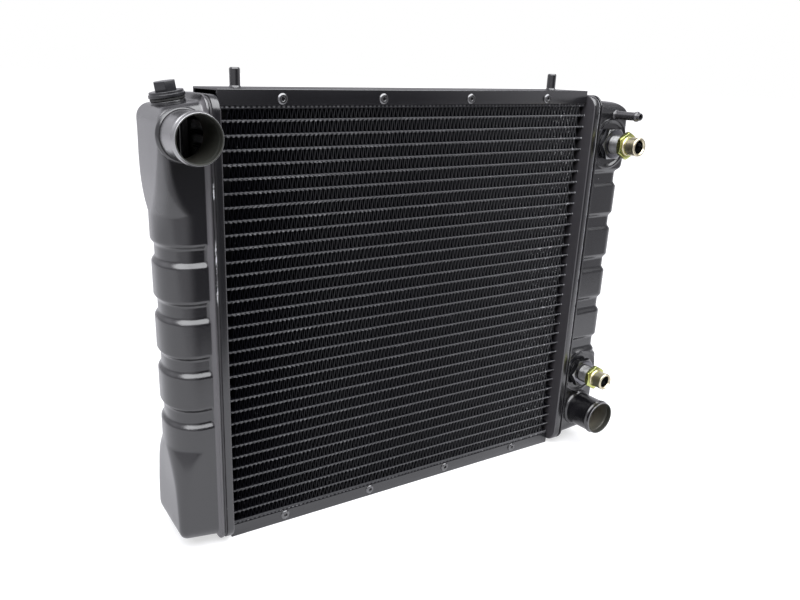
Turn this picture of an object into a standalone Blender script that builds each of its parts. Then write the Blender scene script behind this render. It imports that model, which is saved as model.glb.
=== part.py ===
"""Cross-flow car radiator with soldered end tanks, a tube-and-fin core and an in-tank oil cooler.

X runs along the tubes, -Y is the front and +Z is up. The origin is the centre of the underside of
the bottom channel. A distance called "out" is measured from a header plate's inner face, outwards.
"""

import math
from collections import namedtuple

import bmesh
import bpy
from mathutils import Matrix, Vector

# Fits
CLEAR = 0.0003           # gap between pieces that touch
SEAM = 0.00025           # depth of a fin crest in the wall of the tube it is soldered to
WELD = 0.00001           # distance within which points are one
CUTTER_RISE = 0.004      # cutter in front of the face it cuts

# Core
CORE_WIDTH = 0.438       # between the inner faces of the header plates
TUBE_COUNT = 32
TUBE_PITCH = 0.0123
TUBE_DEPTH = 0.054
TUBE_HEIGHT = 0.0024
TUBE_WALL = 0.0005
TUBE_OVERRUN = 0.003     # tube end past the header plate
FIN_SHEET = 0.0004
FIN_WAVES = 12
FIN_SETBACK = 0.0015     # fin edge behind the tube nose
FIN_END_GAP = 0.009      # bare tube between fins and header plate
END_ROW_HEIGHT = 0.008   # height of the first and last fin rows

# Channels and core side plates
SHEET = 0.0015
CHANNEL_END_GAP = 0.0015   # channel's end to the header plate
CHANNEL_FLANGE = 0.0145
CHANNEL_STANDOFF = 0.0135  # space between the webs of a channel and its core plate
PLATE_TOP_GAP = 0.001      # core plate's flange edge below the channel's web
RIVET_COUNT = 4
RIVET_END_INSET = 0.060    # first rivet from the channel's end
RIVET_HEAD = 0.010
RIVET_HEAD_HEIGHT = 0.0018
RIVET_CROWN = 0.0072       # diameter where the head's top starts to fall
RIVET_CROWN_DROP = 0.00015
RIVET_EDGE = 0.00055       # upright edge of the head
RIVET_SHANK = 0.0050
RIVET_TAIL = 0.0072
RIVET_TAIL_LENGTH = 0.0030
RIVET_HOLE = 0.0036
PEG_INSET = 0.028          # peg from the channel's end
PEG_DIAMETER = 0.0095
PEG_HEIGHT = 0.0165
PEG_TENON = 0.0060
PEG_TENON_LENGTH = 0.0060
PEG_BEVEL = 0.0008

# Header plates
HEADER_MARGIN = 0.014    # plate past the tubes, front and back
HEADER_INSET = 0.0045    # plate end inside the channel's outer face
HEADER_CORNER = 0.015
HEADER_RIM = 0.0075      # height of the rim from the plate's inner face

# Tanks
TANK_WALL = 0.0020
FOOT_SPIGOT_GAP = 0.0005  # tank foot above the plate
FLANGE_OUT = 0.0103       # flange that stops the tank on the header's rim
FLANGE_THICKNESS = 0.0022
FLARE_LENGTH = 0.0030
FLARE_FRONT = 0.0030      # tank front behind the flange
FLARE_END = 0.0050        # tank top below the flange
FLARE_LIP = 0.0004        # flare's edge past the tank's wall
END_SLOPE = math.radians(9.0)
END_ROUND = 0.010
END_TAPER = 0.0045        # end face's lean between front and back
GROOVE_PITCH = 0.0512
GROOVE_WIDTH = 0.0205
GROOVE_FLOOR = 0.0110
GROOVE_DEPTH = 0.0032
GROOVE_RUNOUT = 0.0065    # groove's end short of the foot
GROOVE_LAND = 0.0010      # least plain band past the last groove
BOX_CORNER = 0.0065
CORNER_STEPS = 3
SECTION_STEPS = 5         # points on a rounded plate corner

INLET_UPPER_BOX = 0.0695  # height of the box at the tank's upper end
INLET_UPPER_RAMP = 0.0240  # from that box to the grooved part
INLET_LOWER_BOX = 0.0795
INLET_LOWER_RAMP = 0.0210
INLET_RIB_STEP = 0.0040   # grooved part's end behind the boxes' end
INLET_RIB_CORNER = 0.0240

OUTLET_UPPER_BOX = 0.0665
OUTLET_UPPER_RAMP = 0.0070
OUTLET_LOWER_BOX = 0.1035
OUTLET_LOWER_RAMP = 0.0070
OUTLET_RIB_STEP = 0.0045
OUTLET_RIB_CORNER = 0.0140

# Hose pipes and vent spigot
PIPE_WALL = 0.0016
PIPE_DIAMETER = 0.041
PIPE_LENGTH = 0.039
PIPE_BEAD = 0.0012        # height of the hose bead
PIPE_BEAD_BACK = 0.006    # bead's middle behind the pipe's end
PIPE_BEAD_WIDTH = 0.005
COLLAR_WIDTH = 0.0028
COLLAR_THICKNESS = 0.0020
PIPE_INSIDE = 0.004       # pipe end inside the tank wall
INLET_PIPE_DROP = 0.0060  # pipe's side below the tank's top
INLET_INNER_LAND = 0.0011  # tank front between foot and pipe
INLET_OUTER_LAND = 0.0025  # tank front between pipe and tank end
OUTLET_PIPE_RISE = 0.0155  # pipe's side above the tank's bottom
OUTLET_INNER_LAND = 0.0061
OUTLET_OUTER_LAND = 0.0050
SPIGOT_DIAMETER = 0.009
SPIGOT_TIP = 0.0076
SPIGOT_BORE = 0.0055
SPIGOT_LENGTH = 0.034
SPIGOT_BEAD = 0.0011
SPIGOT_INSET = 0.0245     # spigot from the tank's end
SPIGOT_DROP = 0.0160      # spigot below the tank's top

# Oil cooler, its nuts and its unions
COOLER_DIAMETER = 0.030
COOLER_WALL = 0.0015
COOLER_END = 0.022        # cooler's end past its stud
UPPER_UNION_GAP = 0.0027  # pad below the vent spigot's collar
LOWER_UNION_GAP = 0.0062  # pad above the outlet pipe's collar
PAD_MARGIN = 0.0019       # pad past the lock nut's corners
PAD_DEPTH = 0.0008
STUD_DIAMETER = 0.0210
STUD_BORE = 0.0130
SHOULDER_DIAMETER = 0.030
SHOULDER_THICKNESS = 0.004
STUD_SHOWING = 0.0135     # thread between the lock nut and the union
WASHER_DIAMETER = 0.030
WASHER_THICKNESS = 0.0015
NUT_ACROSS_FLATS = 0.034
NUT_THICKNESS = 0.0065
UNION_ACROSS_FLATS = 0.0265
UNION_HEX = 0.0055
UNION_NOSE = 0.0200
UNION_NOSE_LENGTH = 0.0155
UNION_CHAMFER = 0.0012
UNION_SHANK = 0.012
UNION_BORE = 0.0095

# Filler neck and plug
NECK_COLLAR_WIDTH = 0.0035
NECK_COLLAR_THICKNESS = 0.0020
NECK_WALL = 0.00225
NECK_LENGTH = 0.0090      # neck below its collar
THREAD_CLEAR = 0.00065    # thread's crest to the neck's bore
SEAL_LIP = 0.00025        # seal past the neck's collar
SEAL_THICKNESS = 0.0022
PLUG_LIP = 0.00075        # plug's flange past its seal
PLUG_FLANGE_THICKNESS = 0.0048
PLUG_ACROSS_FLATS = 0.0176
PLUG_HEX_HEIGHT = 0.0078
PLUG_TURN = math.radians(-18.0)  # where the tightened head's corners point
STEM_DIAMETER = 0.0142
STEM_LENGTH = 0.0115      # stem below the plug's flange
THREAD_PITCH = 0.003
THREAD_TURNS = 2.0
THREAD_RADIUS = 0.0010

# Facets round the pieces
PIPE_SIDES = 24
PLUG_SIDES = 20
STUD_SIDES = 16
SMALL_SIDES = 14
BORE_SIDES = 12
RIVET_SIDES = 8

# Places that follow from the sizes above
HALF_CORE = CORE_WIDTH / 2
TUBE_SPAN = (TUBE_COUNT - 1) * TUBE_PITCH + TUBE_HEIGHT
PLATE_OUTER = TUBE_SPAN / 2 + CLEAR + END_ROW_HEIGHT + CLEAR + SHEET
HALF_HEIGHT = PLATE_OUTER + CHANNEL_STANDOFF + SHEET
FIRST_TUBE = HALF_HEIGHT - TUBE_SPAN / 2 + TUBE_HEIGHT / 2
PLATE_HALF_DEPTH = TUBE_DEPTH / 2
CHANNEL_HALF_DEPTH = PLATE_HALF_DEPTH + CLEAR + SHEET
FIN_DEPTH = TUBE_DEPTH - 2 * FIN_SETBACK
FIN_LENGTH = CORE_WIDTH - 2 * FIN_END_GAP
HEADER_HALF_DEPTH = TUBE_DEPTH / 2 + HEADER_MARGIN
HEADER_HALF_HEIGHT = HALF_HEIGHT - HEADER_INSET
TANK_HALF_DEPTH = HEADER_HALF_DEPTH - FLARE_FRONT
TANK_HALF_HEIGHT = HEADER_HALF_HEIGHT - FLARE_END
FOOT_OUT = FLANGE_OUT + FLANGE_THICKNESS / 2
FLARE_OUT = FLANGE_OUT + FLANGE_THICKNESS + FLARE_LENGTH
FOOT_BITE = TANK_WALL * 3 / 4
CHANNEL_LENGTH = CORE_WIDTH - 2 * CHANNEL_END_GAP
RIVET_SPACING = (CHANNEL_LENGTH - 2 * RIVET_END_INSET) / (RIVET_COUNT - 1)
RIVET_DEPTH = SHEET + CHANNEL_STANDOFF / 2
COLLAR_RADIUS = PIPE_DIAMETER / 2 + COLLAR_WIDTH
INLET_PIPE_OUT = FOOT_OUT + INLET_INNER_LAND + PIPE_DIAMETER / 2
INLET_PIPE_UP = TANK_HALF_HEIGHT - INLET_PIPE_DROP - PIPE_DIAMETER / 2
OUTLET_PIPE_OUT = FOOT_OUT + OUTLET_INNER_LAND + PIPE_DIAMETER / 2
OUTLET_PIPE_UP = PIPE_DIAMETER / 2 + OUTLET_PIPE_RISE - TANK_HALF_HEIGHT
INLET_REACH = INLET_PIPE_OUT + PIPE_DIAMETER / 2 + INLET_OUTER_LAND
OUTLET_REACH = OUTLET_PIPE_OUT + PIPE_DIAMETER / 2 + OUTLET_OUTER_LAND
SPIGOT_OUT = OUTLET_REACH - SPIGOT_INSET
SPIGOT_UP = TANK_HALF_HEIGHT - SPIGOT_DROP
PAD_DIAMETER = NUT_ACROSS_FLATS / math.cos(math.pi / 6) + 2 * PAD_MARGIN
UNION_OUT = FLANGE_OUT + FLANGE_THICKNESS + PAD_DIAMETER / 2
SPIGOT_COLLAR_RADIUS = SPIGOT_DIAMETER / 2 + COLLAR_WIDTH
UPPER_UNION_UP = SPIGOT_UP - SPIGOT_COLLAR_RADIUS - UPPER_UNION_GAP - PAD_DIAMETER / 2
LOWER_UNION_UP = OUTLET_PIPE_UP + COLLAR_RADIUS + LOWER_UNION_GAP + PAD_DIAMETER / 2
STUD_SEAT = WASHER_THICKNESS + NUT_THICKNESS + 2 * CLEAR - PAD_DEPTH
STUD_END = STUD_SEAT + STUD_SHOWING
NECK_BORE = STEM_DIAMETER + 2 * THREAD_RADIUS + 2 * THREAD_CLEAR
NECK_DIAMETER = NECK_BORE + 2 * NECK_WALL
NECK_COLLAR = NECK_DIAMETER + 2 * NECK_COLLAR_WIDTH
SEAL_DIAMETER = NECK_COLLAR + 2 * SEAL_LIP
PLUG_FLANGE = SEAL_DIAMETER + 2 * PLUG_LIP
PLUG_OUT = FLARE_OUT + PLUG_FLANGE / 2

Tank = namedtuple("Tank", "side reach rib_reach rib_corner lower_box rib_start rib_end upper_box")
INLET = Tank(-1, INLET_REACH, INLET_REACH - INLET_RIB_STEP, INLET_RIB_CORNER,
             INLET_LOWER_BOX - TANK_HALF_HEIGHT, INLET_LOWER_BOX + INLET_LOWER_RAMP - TANK_HALF_HEIGHT,
             TANK_HALF_HEIGHT - INLET_UPPER_BOX - INLET_UPPER_RAMP, TANK_HALF_HEIGHT - INLET_UPPER_BOX)
OUTLET = Tank(1, OUTLET_REACH, OUTLET_REACH - OUTLET_RIB_STEP, OUTLET_RIB_CORNER,
              OUTLET_LOWER_BOX - TANK_HALF_HEIGHT, OUTLET_LOWER_BOX + OUTLET_LOWER_RAMP - TANK_HALF_HEIGHT,
              TANK_HALF_HEIGHT - OUTLET_UPPER_BOX - OUTLET_UPPER_RAMP, TANK_HALF_HEIGHT - OUTLET_UPPER_BOX)
Level = namedtuple("Level", "z reach corner inset groove slope")

BLACK_PAINT = ((0.012, 0.012, 0.013, 1.0), 0.38, 0.0)
CORE_BLACK = ((0.008, 0.008, 0.009, 1.0), 0.50, 0.0)
BRASS = ((0.55, 0.40, 0.17, 1.0), 0.35, 1.0)
DARK_STEEL = ((0.045, 0.045, 0.048, 1.0), 0.35, 1.0)
BRIGHT_STEEL = ((0.60, 0.60, 0.58, 1.0), 0.28, 1.0)
YELLOW_ZINC = ((0.72, 0.62, 0.28, 1.0), 0.25, 1.0)
BLACK_PLASTIC = ((0.018, 0.018, 0.020, 1.0), 0.45, 0.0)
BLACK_RUBBER = ((0.010, 0.010, 0.010, 1.0), 0.75, 0.0)


def clear_scene():
    for old in list(bpy.data.objects):
        bpy.data.objects.remove(old, do_unlink=True)


def make_collection(name):
    collection = bpy.data.collections.new(name)
    bpy.context.scene.collection.children.link(collection)
    return collection


def make_material(name, look):
    colour, roughness, metallic = look
    material = bpy.data.materials.new(name)
    material.use_nodes = True
    shader = material.node_tree.nodes["Principled BSDF"]
    shader.inputs["Base Color"].default_value = colour
    shader.inputs["Roughness"].default_value = roughness
    shader.inputs["Metallic"].default_value = metallic
    return material


class Builder:
    """Adds the radiator's pieces to one collection and their cutters to another."""

    def __init__(self):
        self.parts = make_collection("car_radiator")
        self.cutters = make_collection("cutters")

    def part(self, name, mesh, look, matrix=None, parent=None, smooth=True):
        piece = bpy.data.objects.new(name, mesh)
        self.parts.objects.link(piece)
        piece.parent = parent
        if matrix is not None:
            piece.matrix_local = matrix
        if not mesh.materials:
            mesh.materials.append(make_material(name, look))
        if smooth:
            mesh.shade_smooth()
            mesh.set_sharp_from_angle(angle=math.radians(35))
        return piece

    def cutter(self, name, mesh, matrix=None, parent=None):
        piece = bpy.data.objects.new(name, mesh)
        self.cutters.objects.link(piece)
        piece.parent = parent
        if matrix is not None:
            piece.matrix_local = matrix
        piece.hide_render = True
        piece.display_type = "WIRE"
        return piece


def boolean(piece, operand, operation):
    modifier = piece.modifiers.new(f"{operation.lower()} {operand.name}", "BOOLEAN")
    modifier.object = operand
    modifier.operation = operation
    modifier.solver = "EXACT"


def solidify(piece, thickness, offset=-1.0):
    modifier = piece.modifiers.new("wall", "SOLIDIFY")
    modifier.thickness = thickness
    modifier.offset = offset
    modifier.use_even_offset = True


def baked(piece):
    """The piece's evaluated shape as a mesh of its own, for pieces that repeat."""
    bpy.context.view_layer.update()
    graph = bpy.context.evaluated_depsgraph_get()
    return bpy.data.meshes.new_from_object(piece.evaluated_get(graph))


def mesh_from(name, bm):
    mesh = bpy.data.meshes.new(name)
    bm.to_mesh(mesh)
    bm.free()
    return mesh


def wire(bm, points, closed):
    verts = [bm.verts.new(point) for point in points]
    edges = [bm.edges.new(pair) for pair in zip(verts, verts[1:])]
    if closed:
        edges.append(bm.edges.new((verts[-1], verts[0])))
    return verts, edges


def drawn_out(bm, points, travel, closed):
    """An outline pulled along a vector, as an open surface."""
    _, edges = wire(bm, points, closed)
    pulled = bmesh.ops.extrude_edge_only(bm, edges=edges)["geom"]
    moved = [item for item in pulled if isinstance(item, bmesh.types.BMVert)]
    bmesh.ops.translate(bm, verts=moved, vec=travel)


def prism(bm, points, travel):
    """A closed outline pulled along a vector, as a solid."""
    verts, _ = wire(bm, points, True)
    face = bm.faces.new(verts)
    pulled = bmesh.ops.extrude_face_region(bm, geom=[face])["geom"]
    moved = [item for item in pulled if isinstance(item, bmesh.types.BMVert)]
    bmesh.ops.translate(bm, verts=moved, vec=travel)
    bmesh.ops.recalc_face_normals(bm, faces=bm.faces[:])


def loft(bm, sections, closed_sections, closed_run=False):
    """Faces between sections that have the same number of points."""
    rows = [[bm.verts.new(point) for point in section] for section in sections]
    pairs = list(zip(rows, rows[1:]))
    if closed_run:
        pairs.append((rows[-1], rows[0]))
    for lower, upper in pairs:
        count = len(lower)
        for index in range(count if closed_sections else count - 1):
            after = (index + 1) % count
            bm.faces.new((lower[index], lower[after], upper[after], upper[index]))
    return rows


def face_away_from(bm, inside):
    """Turn a surface's faces so that they look away from a point inside it."""
    bmesh.ops.recalc_face_normals(bm, faces=bm.faces[:])
    bm.normal_update()
    lean = sum(face.calc_area() * face.normal.dot(face.calc_center_median() - inside) for face in bm.faces)
    if lean < 0:
        bmesh.ops.reverse_faces(bm, faces=bm.faces[:])


def cylinder_mesh(name, diameter, start, end, sides):
    """A closed cylinder on the Z axis between two heights."""
    bm = bmesh.new()
    middle = Matrix.Translation((0, 0, (start + end) / 2))
    bmesh.ops.create_cone(bm, cap_ends=True, segments=sides, radius1=diameter / 2, radius2=diameter / 2,
                          depth=end - start, matrix=middle)
    return mesh_from(name, bm)


def hex_mesh(name, across_flats, start, end):
    return cylinder_mesh(name, across_flats / math.cos(math.pi / 6), start, end, 6)


def turned_mesh(name, profile, sides, hollow):
    """A profile of (radius, height) points, top to bottom, turned about the Z axis."""
    bm = bmesh.new()
    wire(bm, [(radius, 0, height) for radius, height in profile], hollow)
    piece = bpy.data.objects.new(name, mesh_from(name, bm))
    bpy.context.scene.collection.objects.link(piece)
    screw = piece.modifiers.new("turn", "SCREW")
    screw.steps = sides
    screw.render_steps = sides
    screw.use_merge_vertices = True
    screw.merge_threshold = WELD
    mesh = baked(piece)
    bpy.data.objects.remove(piece, do_unlink=True)
    return mesh


def arc(centre, radius, start, end, steps):
    angles = [math.radians(start + (end - start) * step / steps) for step in range(steps + 1)]
    return [(centre[0] + radius * math.cos(a), centre[1] + radius * math.sin(a)) for a in angles]


def rounded_outline(half_depth, half_height, corner):
    """Rounded rectangle in Y and Z, about the core's centre."""
    points = []
    for quarter, (y_sign, z_sign) in enumerate(((1, 1), (-1, 1), (-1, -1), (1, -1))):
        centre = (y_sign * (half_depth - corner), HALF_HEIGHT + z_sign * (half_height - corner))
        points += arc(centre, corner, 90 * quarter, 90 * quarter + 90, SECTION_STEPS - 1)
    return points


def tube_outline(half_depth, half_height):
    """Flat tube's section with a nose at the front and the back, in Y and Z."""
    flat = half_depth - half_height
    right = [(flat, half_height), (half_depth, 0), (flat, -half_height)]
    return right + [(-y, -z) for y, z in right]


def at_x(out, side):
    return side * (HALF_CORE + out)


def front_place(out, side, up):
    """Local Z runs forwards from a tank's front face, at a place on it."""
    place = Matrix.Translation((at_x(out, side), -TANK_HALF_DEPTH, HALF_HEIGHT + up))
    return place @ Matrix.Rotation(math.radians(90), 4, "X")


def fin_ribbon(bm, low, high):
    """Folded fin between two heights, measured to its outer faces."""
    bottom = low + FIN_SHEET / 2
    top = high - FIN_SHEET / 2
    half_wave = FIN_LENGTH / (2 * FIN_WAVES)
    points = []
    for crest in range(2 * FIN_WAVES + 1):
        height = top if crest % 2 else bottom
        points.append((-FIN_LENGTH / 2 + crest * half_wave, FIN_DEPTH / 2, height))
    drawn_out(bm, points, Vector((0, -FIN_DEPTH, 0)), False)


def tube_pair_mesh(builder, name, row_above):
    """Two tubes and the fin rows over each of them, soldered into one piece."""
    half_length = HALF_CORE + SHEET + TUBE_OVERRUN
    tubes = bmesh.new()
    for height in (0.0, TUBE_PITCH):
        outline = tube_outline(TUBE_DEPTH / 2, TUBE_HEIGHT / 2)
        points = [(-half_length, y, height + z) for y, z in outline]
        drawn_out(tubes, points, Vector((2 * half_length, 0, 0)), True)
    bmesh.ops.recalc_face_normals(tubes, faces=tubes.faces[:])
    fins = bmesh.new()
    tube_top = TUBE_HEIGHT / 2
    fin_ribbon(fins, tube_top - SEAM, TUBE_PITCH - tube_top + SEAM)
    upper_low = TUBE_PITCH + tube_top - SEAM
    upper_high = TUBE_PITCH + tube_top + row_above - CLEAR
    fin_ribbon(fins, upper_low, upper_high)
    pair = builder.cutter(name, mesh_from(name, tubes))
    solidify(pair, TUBE_WALL)
    ribbons = builder.cutter(f"{name} fins", mesh_from(f"{name} fins", fins))
    solidify(ribbons, FIN_SHEET, 0.0)
    boolean(pair, ribbons, "UNION")
    mesh = baked(pair)
    bpy.data.objects.remove(pair, do_unlink=True)
    bpy.data.objects.remove(ribbons, do_unlink=True)
    return mesh


def build_core(builder):
    pairs = TUBE_COUNT // 2
    between = TUBE_PITCH - TUBE_HEIGHT
    inner = tube_pair_mesh(builder, "tube pair", between)
    last = tube_pair_mesh(builder, "last tube pair", CLEAR + END_ROW_HEIGHT + CLEAR)
    for index in range(pairs):
        mesh = last if index == pairs - 1 else inner
        place = Matrix.Translation((0, 0, FIRST_TUBE + 2 * index * TUBE_PITCH))
        builder.part(f"tube_pair_{index + 1:02d}", mesh, CORE_BLACK, place, smooth=False)
    row = bmesh.new()
    first_tube_bottom = FIRST_TUBE - TUBE_HEIGHT / 2
    fin_ribbon(row, first_tube_bottom - CLEAR - END_ROW_HEIGHT, first_tube_bottom - CLEAR)
    piece = builder.part("bottom_fin_row", mesh_from("bottom_fin_row", row), CORE_BLACK, smooth=False)
    solidify(piece, FIN_SHEET, 0.0)


def angle_section(half_depth, web, edge):
    """U-shaped section in Y and Z: front flange, web, back flange."""
    return [(-half_depth, edge), (-half_depth, web), (half_depth, web), (half_depth, edge)]


def pressed_channel(builder, name, half_depth, web, edge):
    bm = bmesh.new()
    points = [(-CHANNEL_LENGTH / 2, y, z) for y, z in angle_section(half_depth, web, edge)]
    drawn_out(bm, points, Vector((CHANNEL_LENGTH, 0, 0)), False)
    inside = Vector((0, 0, (web + edge) / 2))
    face_away_from(bm, inside)
    piece = builder.part(name, mesh_from(name, bm), BLACK_PAINT, smooth=False)
    solidify(piece, SHEET)
    return piece


def rivet_mesh():
    grip = SHEET + CLEAR + SHEET
    tail_face = -grip - 2 * CLEAR
    mandrel = tail_face - RIVET_TAIL_LENGTH / 2
    profile = [
        (0, mandrel),
        (RIVET_HOLE / 2, mandrel),
        (RIVET_HOLE / 2, RIVET_HEAD_HEIGHT),
        (RIVET_CROWN / 2, RIVET_HEAD_HEIGHT - RIVET_CROWN_DROP),
        (RIVET_HEAD / 2, RIVET_EDGE),
        (RIVET_HEAD / 2, 0),
        (RIVET_SHANK / 2, 0),
        (RIVET_SHANK / 2, tail_face),
        (RIVET_TAIL / 2, tail_face),
        (RIVET_TAIL / 2, tail_face - RIVET_TAIL_LENGTH),
        (0, tail_face - RIVET_TAIL_LENGTH),
    ]
    return turned_mesh("rivet", profile, RIVET_SIDES, False)


def build_channels(builder):
    """Channels, core side plates and the rivets that hold each pair together."""
    rivet = rivet_mesh()
    hole = cylinder_mesh("rivet hole", RIVET_SHANK + 2 * CLEAR, -4 * SHEET, 4 * SHEET, RIVET_SIDES)
    facing_front = Matrix.Rotation(math.radians(90), 4, "X")
    for name, up in (("top", 1), ("bottom", -1)):
        web = HALF_HEIGHT + up * HALF_HEIGHT
        edge = web - up * CHANNEL_FLANGE
        channel = pressed_channel(builder, f"{name}_channel", CHANNEL_HALF_DEPTH, web, edge)
        plate_web = HALF_HEIGHT + up * (PLATE_OUTER - SHEET)
        plate_edge = web - up * (SHEET + PLATE_TOP_GAP)
        plate = pressed_channel(builder, f"{name}_core_plate", PLATE_HALF_DEPTH, plate_web, plate_edge)
        rivet_z = web - up * RIVET_DEPTH
        for index in range(RIVET_COUNT):
            x = (index - (RIVET_COUNT - 1) / 2) * RIVET_SPACING
            place = Matrix.Translation((x, -CHANNEL_HALF_DEPTH - CLEAR, rivet_z)) @ facing_front
            builder.part(f"{name}_rivet_{index + 1}", rivet, DARK_STEEL, place)
            cutter = builder.cutter(f"{name} rivet hole {index + 1}", hole, place)
            boolean(channel, cutter, "DIFFERENCE")
            boolean(plate, cutter, "DIFFERENCE")
        if up > 0:
            build_pegs(builder, channel)


def build_pegs(builder, channel):
    """Locating pegs with tenons through the top channel's web."""
    top = 2 * HALF_HEIGHT
    profile = [
        (0, PEG_HEIGHT),
        (PEG_DIAMETER / 2 - PEG_BEVEL, PEG_HEIGHT),
        (PEG_DIAMETER / 2, PEG_HEIGHT - PEG_BEVEL),
        (PEG_DIAMETER / 2, 0),
        (PEG_TENON / 2, 0),
        (PEG_TENON / 2, -PEG_TENON_LENGTH),
        (0, -PEG_TENON_LENGTH),
    ]
    peg = turned_mesh("peg", profile, SMALL_SIDES, False)
    hole = cylinder_mesh("peg hole", PEG_TENON + 2 * CLEAR, -4 * SHEET, 2 * SHEET, SMALL_SIDES)
    for name, side in (("left", -1), ("right", 1)):
        place = Matrix.Translation((side * (CHANNEL_LENGTH / 2 - PEG_INSET), 0, top + CLEAR))
        builder.part(f"peg_{name}", peg, BLACK_PAINT, place)
        boolean(channel, builder.cutter(f"peg hole {name}", hole, place), "DIFFERENCE")


def build_header(builder, name, side):
    """Header plate: a shallow pan with a slot for each tube."""
    outline = rounded_outline(HEADER_HALF_DEPTH, HEADER_HALF_HEIGHT, HEADER_CORNER)
    bm = bmesh.new()
    rows = loft(bm, [[(at_x(out, side), y, z) for y, z in outline] for out in (0, HEADER_RIM)], True)
    bm.faces.new(rows[0])
    face_away_from(bm, Vector((at_x(HEADER_RIM, side), 0, HALF_HEIGHT)))
    pan = builder.part(name, mesh_from(name, bm), BLACK_PAINT)
    solidify(pan, SHEET)
    slots = bmesh.new()
    section = tube_outline(TUBE_DEPTH / 2 + CLEAR, TUBE_HEIGHT / 2 + CLEAR)
    for index in range(TUBE_COUNT):
        height = FIRST_TUBE + index * TUBE_PITCH
        points = [(at_x(-SHEET, side), y, height + z) for y, z in section]
        prism(slots, points, Vector((side * 3 * SHEET, 0, 0)))
    boolean(pan, builder.cutter(f"{name} slots", mesh_from(f"{name} slots", slots)), "DIFFERENCE")


def tank_section(level):
    """Half-round section of a tank at one level, from its front foot to its back foot."""
    half = TANK_HALF_DEPTH - level.inset
    face = half - level.groove
    runout_end = FOOT_OUT + GROOVE_RUNOUT
    front_reach = level.reach - level.inset - level.groove
    back_reach = front_reach - END_TAPER
    corner = max(level.corner - level.inset, BOX_CORNER / 2)
    corner = min(corner, back_reach - runout_end - CLEAR)
    front = [(FOOT_OUT, -half), (FOOT_OUT + GROOVE_RUNOUT / 2, -half), (runout_end, -face)]
    back = [(out, -y) for out, y in reversed(front)]
    front_corner = arc((front_reach - corner, -face + corner), corner, -90, 0, CORNER_STEPS)
    back_corner = arc((back_reach - corner, face - corner), corner, 0, 90, CORNER_STEPS)
    return front + front_corner + back_corner + back


def tank_levels(tank):
    """Levels of a tank from its bottom to its top, about the core's centre."""
    top = TANK_HALF_HEIGHT - END_ROUND
    levels = []
    for end, limit in ((-1, tank.lower_box), (1, tank.upper_box)):
        for angle in (90, 45, 0):
            rise = END_ROUND * math.sin(math.radians(angle))
            inset = END_ROUND * (1 - math.cos(math.radians(angle)))
            levels.append(Level(end * (top + rise), tank.reach, BOX_CORNER, inset, 0, -end))
        levels.append(Level(limit, tank.reach, BOX_CORNER, 0, 0, 0))
    for limit in (tank.rib_start, tank.rib_end):
        levels.append(Level(limit, tank.rib_reach, tank.rib_corner, 0, 0, 0))
    room = tank.rib_end - tank.rib_start - GROOVE_WIDTH - 2 * GROOVE_LAND
    grooves = max(0, int(room / GROOVE_PITCH) + 1)
    for index in range(grooves):
        middle = (tank.rib_start + tank.rib_end) / 2 + (index - (grooves - 1) / 2) * GROOVE_PITCH
        for side in (-1, 1):
            edge = middle + side * GROOVE_WIDTH / 2
            floor = middle + side * GROOVE_FLOOR / 2
            levels.append(Level(edge, tank.rib_reach, tank.rib_corner, 0, 0, 0))
            levels.append(Level(floor, tank.rib_reach, tank.rib_corner, 0, GROOVE_DEPTH, 0))
    return sorted(levels)


def tank_shell_mesh(name, tank):
    bm = bmesh.new()
    sections = []
    fall = math.tan(END_SLOPE)
    for level in tank_levels(tank):
        section = []
        for out, y in tank_section(level):
            z = HALF_HEIGHT + level.z + level.slope * fall * (out - FOOT_OUT)
            section.append((at_x(out, tank.side), y, z))
        sections.append(section)
    rows = loft(bm, sections, False)
    bm.faces.new(rows[0])
    bm.faces.new(rows[-1])
    face_away_from(bm, Vector((at_x(FOOT_OUT, tank.side), 0, HALF_HEIGHT)))
    bmesh.ops.triangulate(bm, faces=bm.faces[:])
    return mesh_from(name, bm)


def tank_foot_mesh(name, tank):
    """Foot that sits in the header's rim, the flange that stops it there, and the flare above."""
    inner_depth = TANK_HALF_DEPTH - FOOT_BITE
    inner_height = TANK_HALF_HEIGHT - FOOT_BITE
    spigot_depth = HEADER_HALF_DEPTH - SHEET - CLEAR
    spigot_height = HEADER_HALF_HEIGHT - SHEET - CLEAR
    spigot_start = SHEET + FOOT_SPIGOT_GAP
    flange_end = FLANGE_OUT + FLANGE_THICKNESS
    flare_depth = TANK_HALF_DEPTH + FLARE_LIP
    flare_height = TANK_HALF_HEIGHT + FLARE_LIP
    outlines = [
        (spigot_start, spigot_depth, spigot_height, HEADER_CORNER - SHEET),
        (FLANGE_OUT, spigot_depth, spigot_height, HEADER_CORNER - SHEET),
        (FLANGE_OUT, HEADER_HALF_DEPTH, HEADER_HALF_HEIGHT, HEADER_CORNER),
        (flange_end, HEADER_HALF_DEPTH, HEADER_HALF_HEIGHT, HEADER_CORNER),
        (FLARE_OUT, flare_depth, flare_height, END_ROUND),
        (FLARE_OUT, inner_depth, inner_height, END_ROUND),
        (spigot_start, inner_depth, inner_height, END_ROUND),
    ]
    bm = bmesh.new()
    sections = []
    for out, half_depth, half_height, corner in outlines:
        outline = rounded_outline(half_depth, half_height, corner)
        sections.append([(at_x(out, tank.side), y, z) for y, z in outline])
    loft(bm, sections, True, True)
    bmesh.ops.recalc_face_normals(bm, faces=bm.faces[:])
    return mesh_from(name, bm)


def build_tank(builder, name, tank):
    shell = builder.part(name, tank_shell_mesh(name, tank), BLACK_PAINT)
    solidify(shell, TANK_WALL)
    foot = builder.cutter(f"{name} foot", tank_foot_mesh(f"{name} foot", tank))
    boolean(shell, foot, "UNION")
    return shell


def drill(builder, piece, name, diameter, depth, matrix, sides, parent=None):
    mesh = cylinder_mesh(name, diameter, -depth, CUTTER_RISE, sides)
    boolean(piece, builder.cutter(name, mesh, matrix, parent), "DIFFERENCE")


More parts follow.
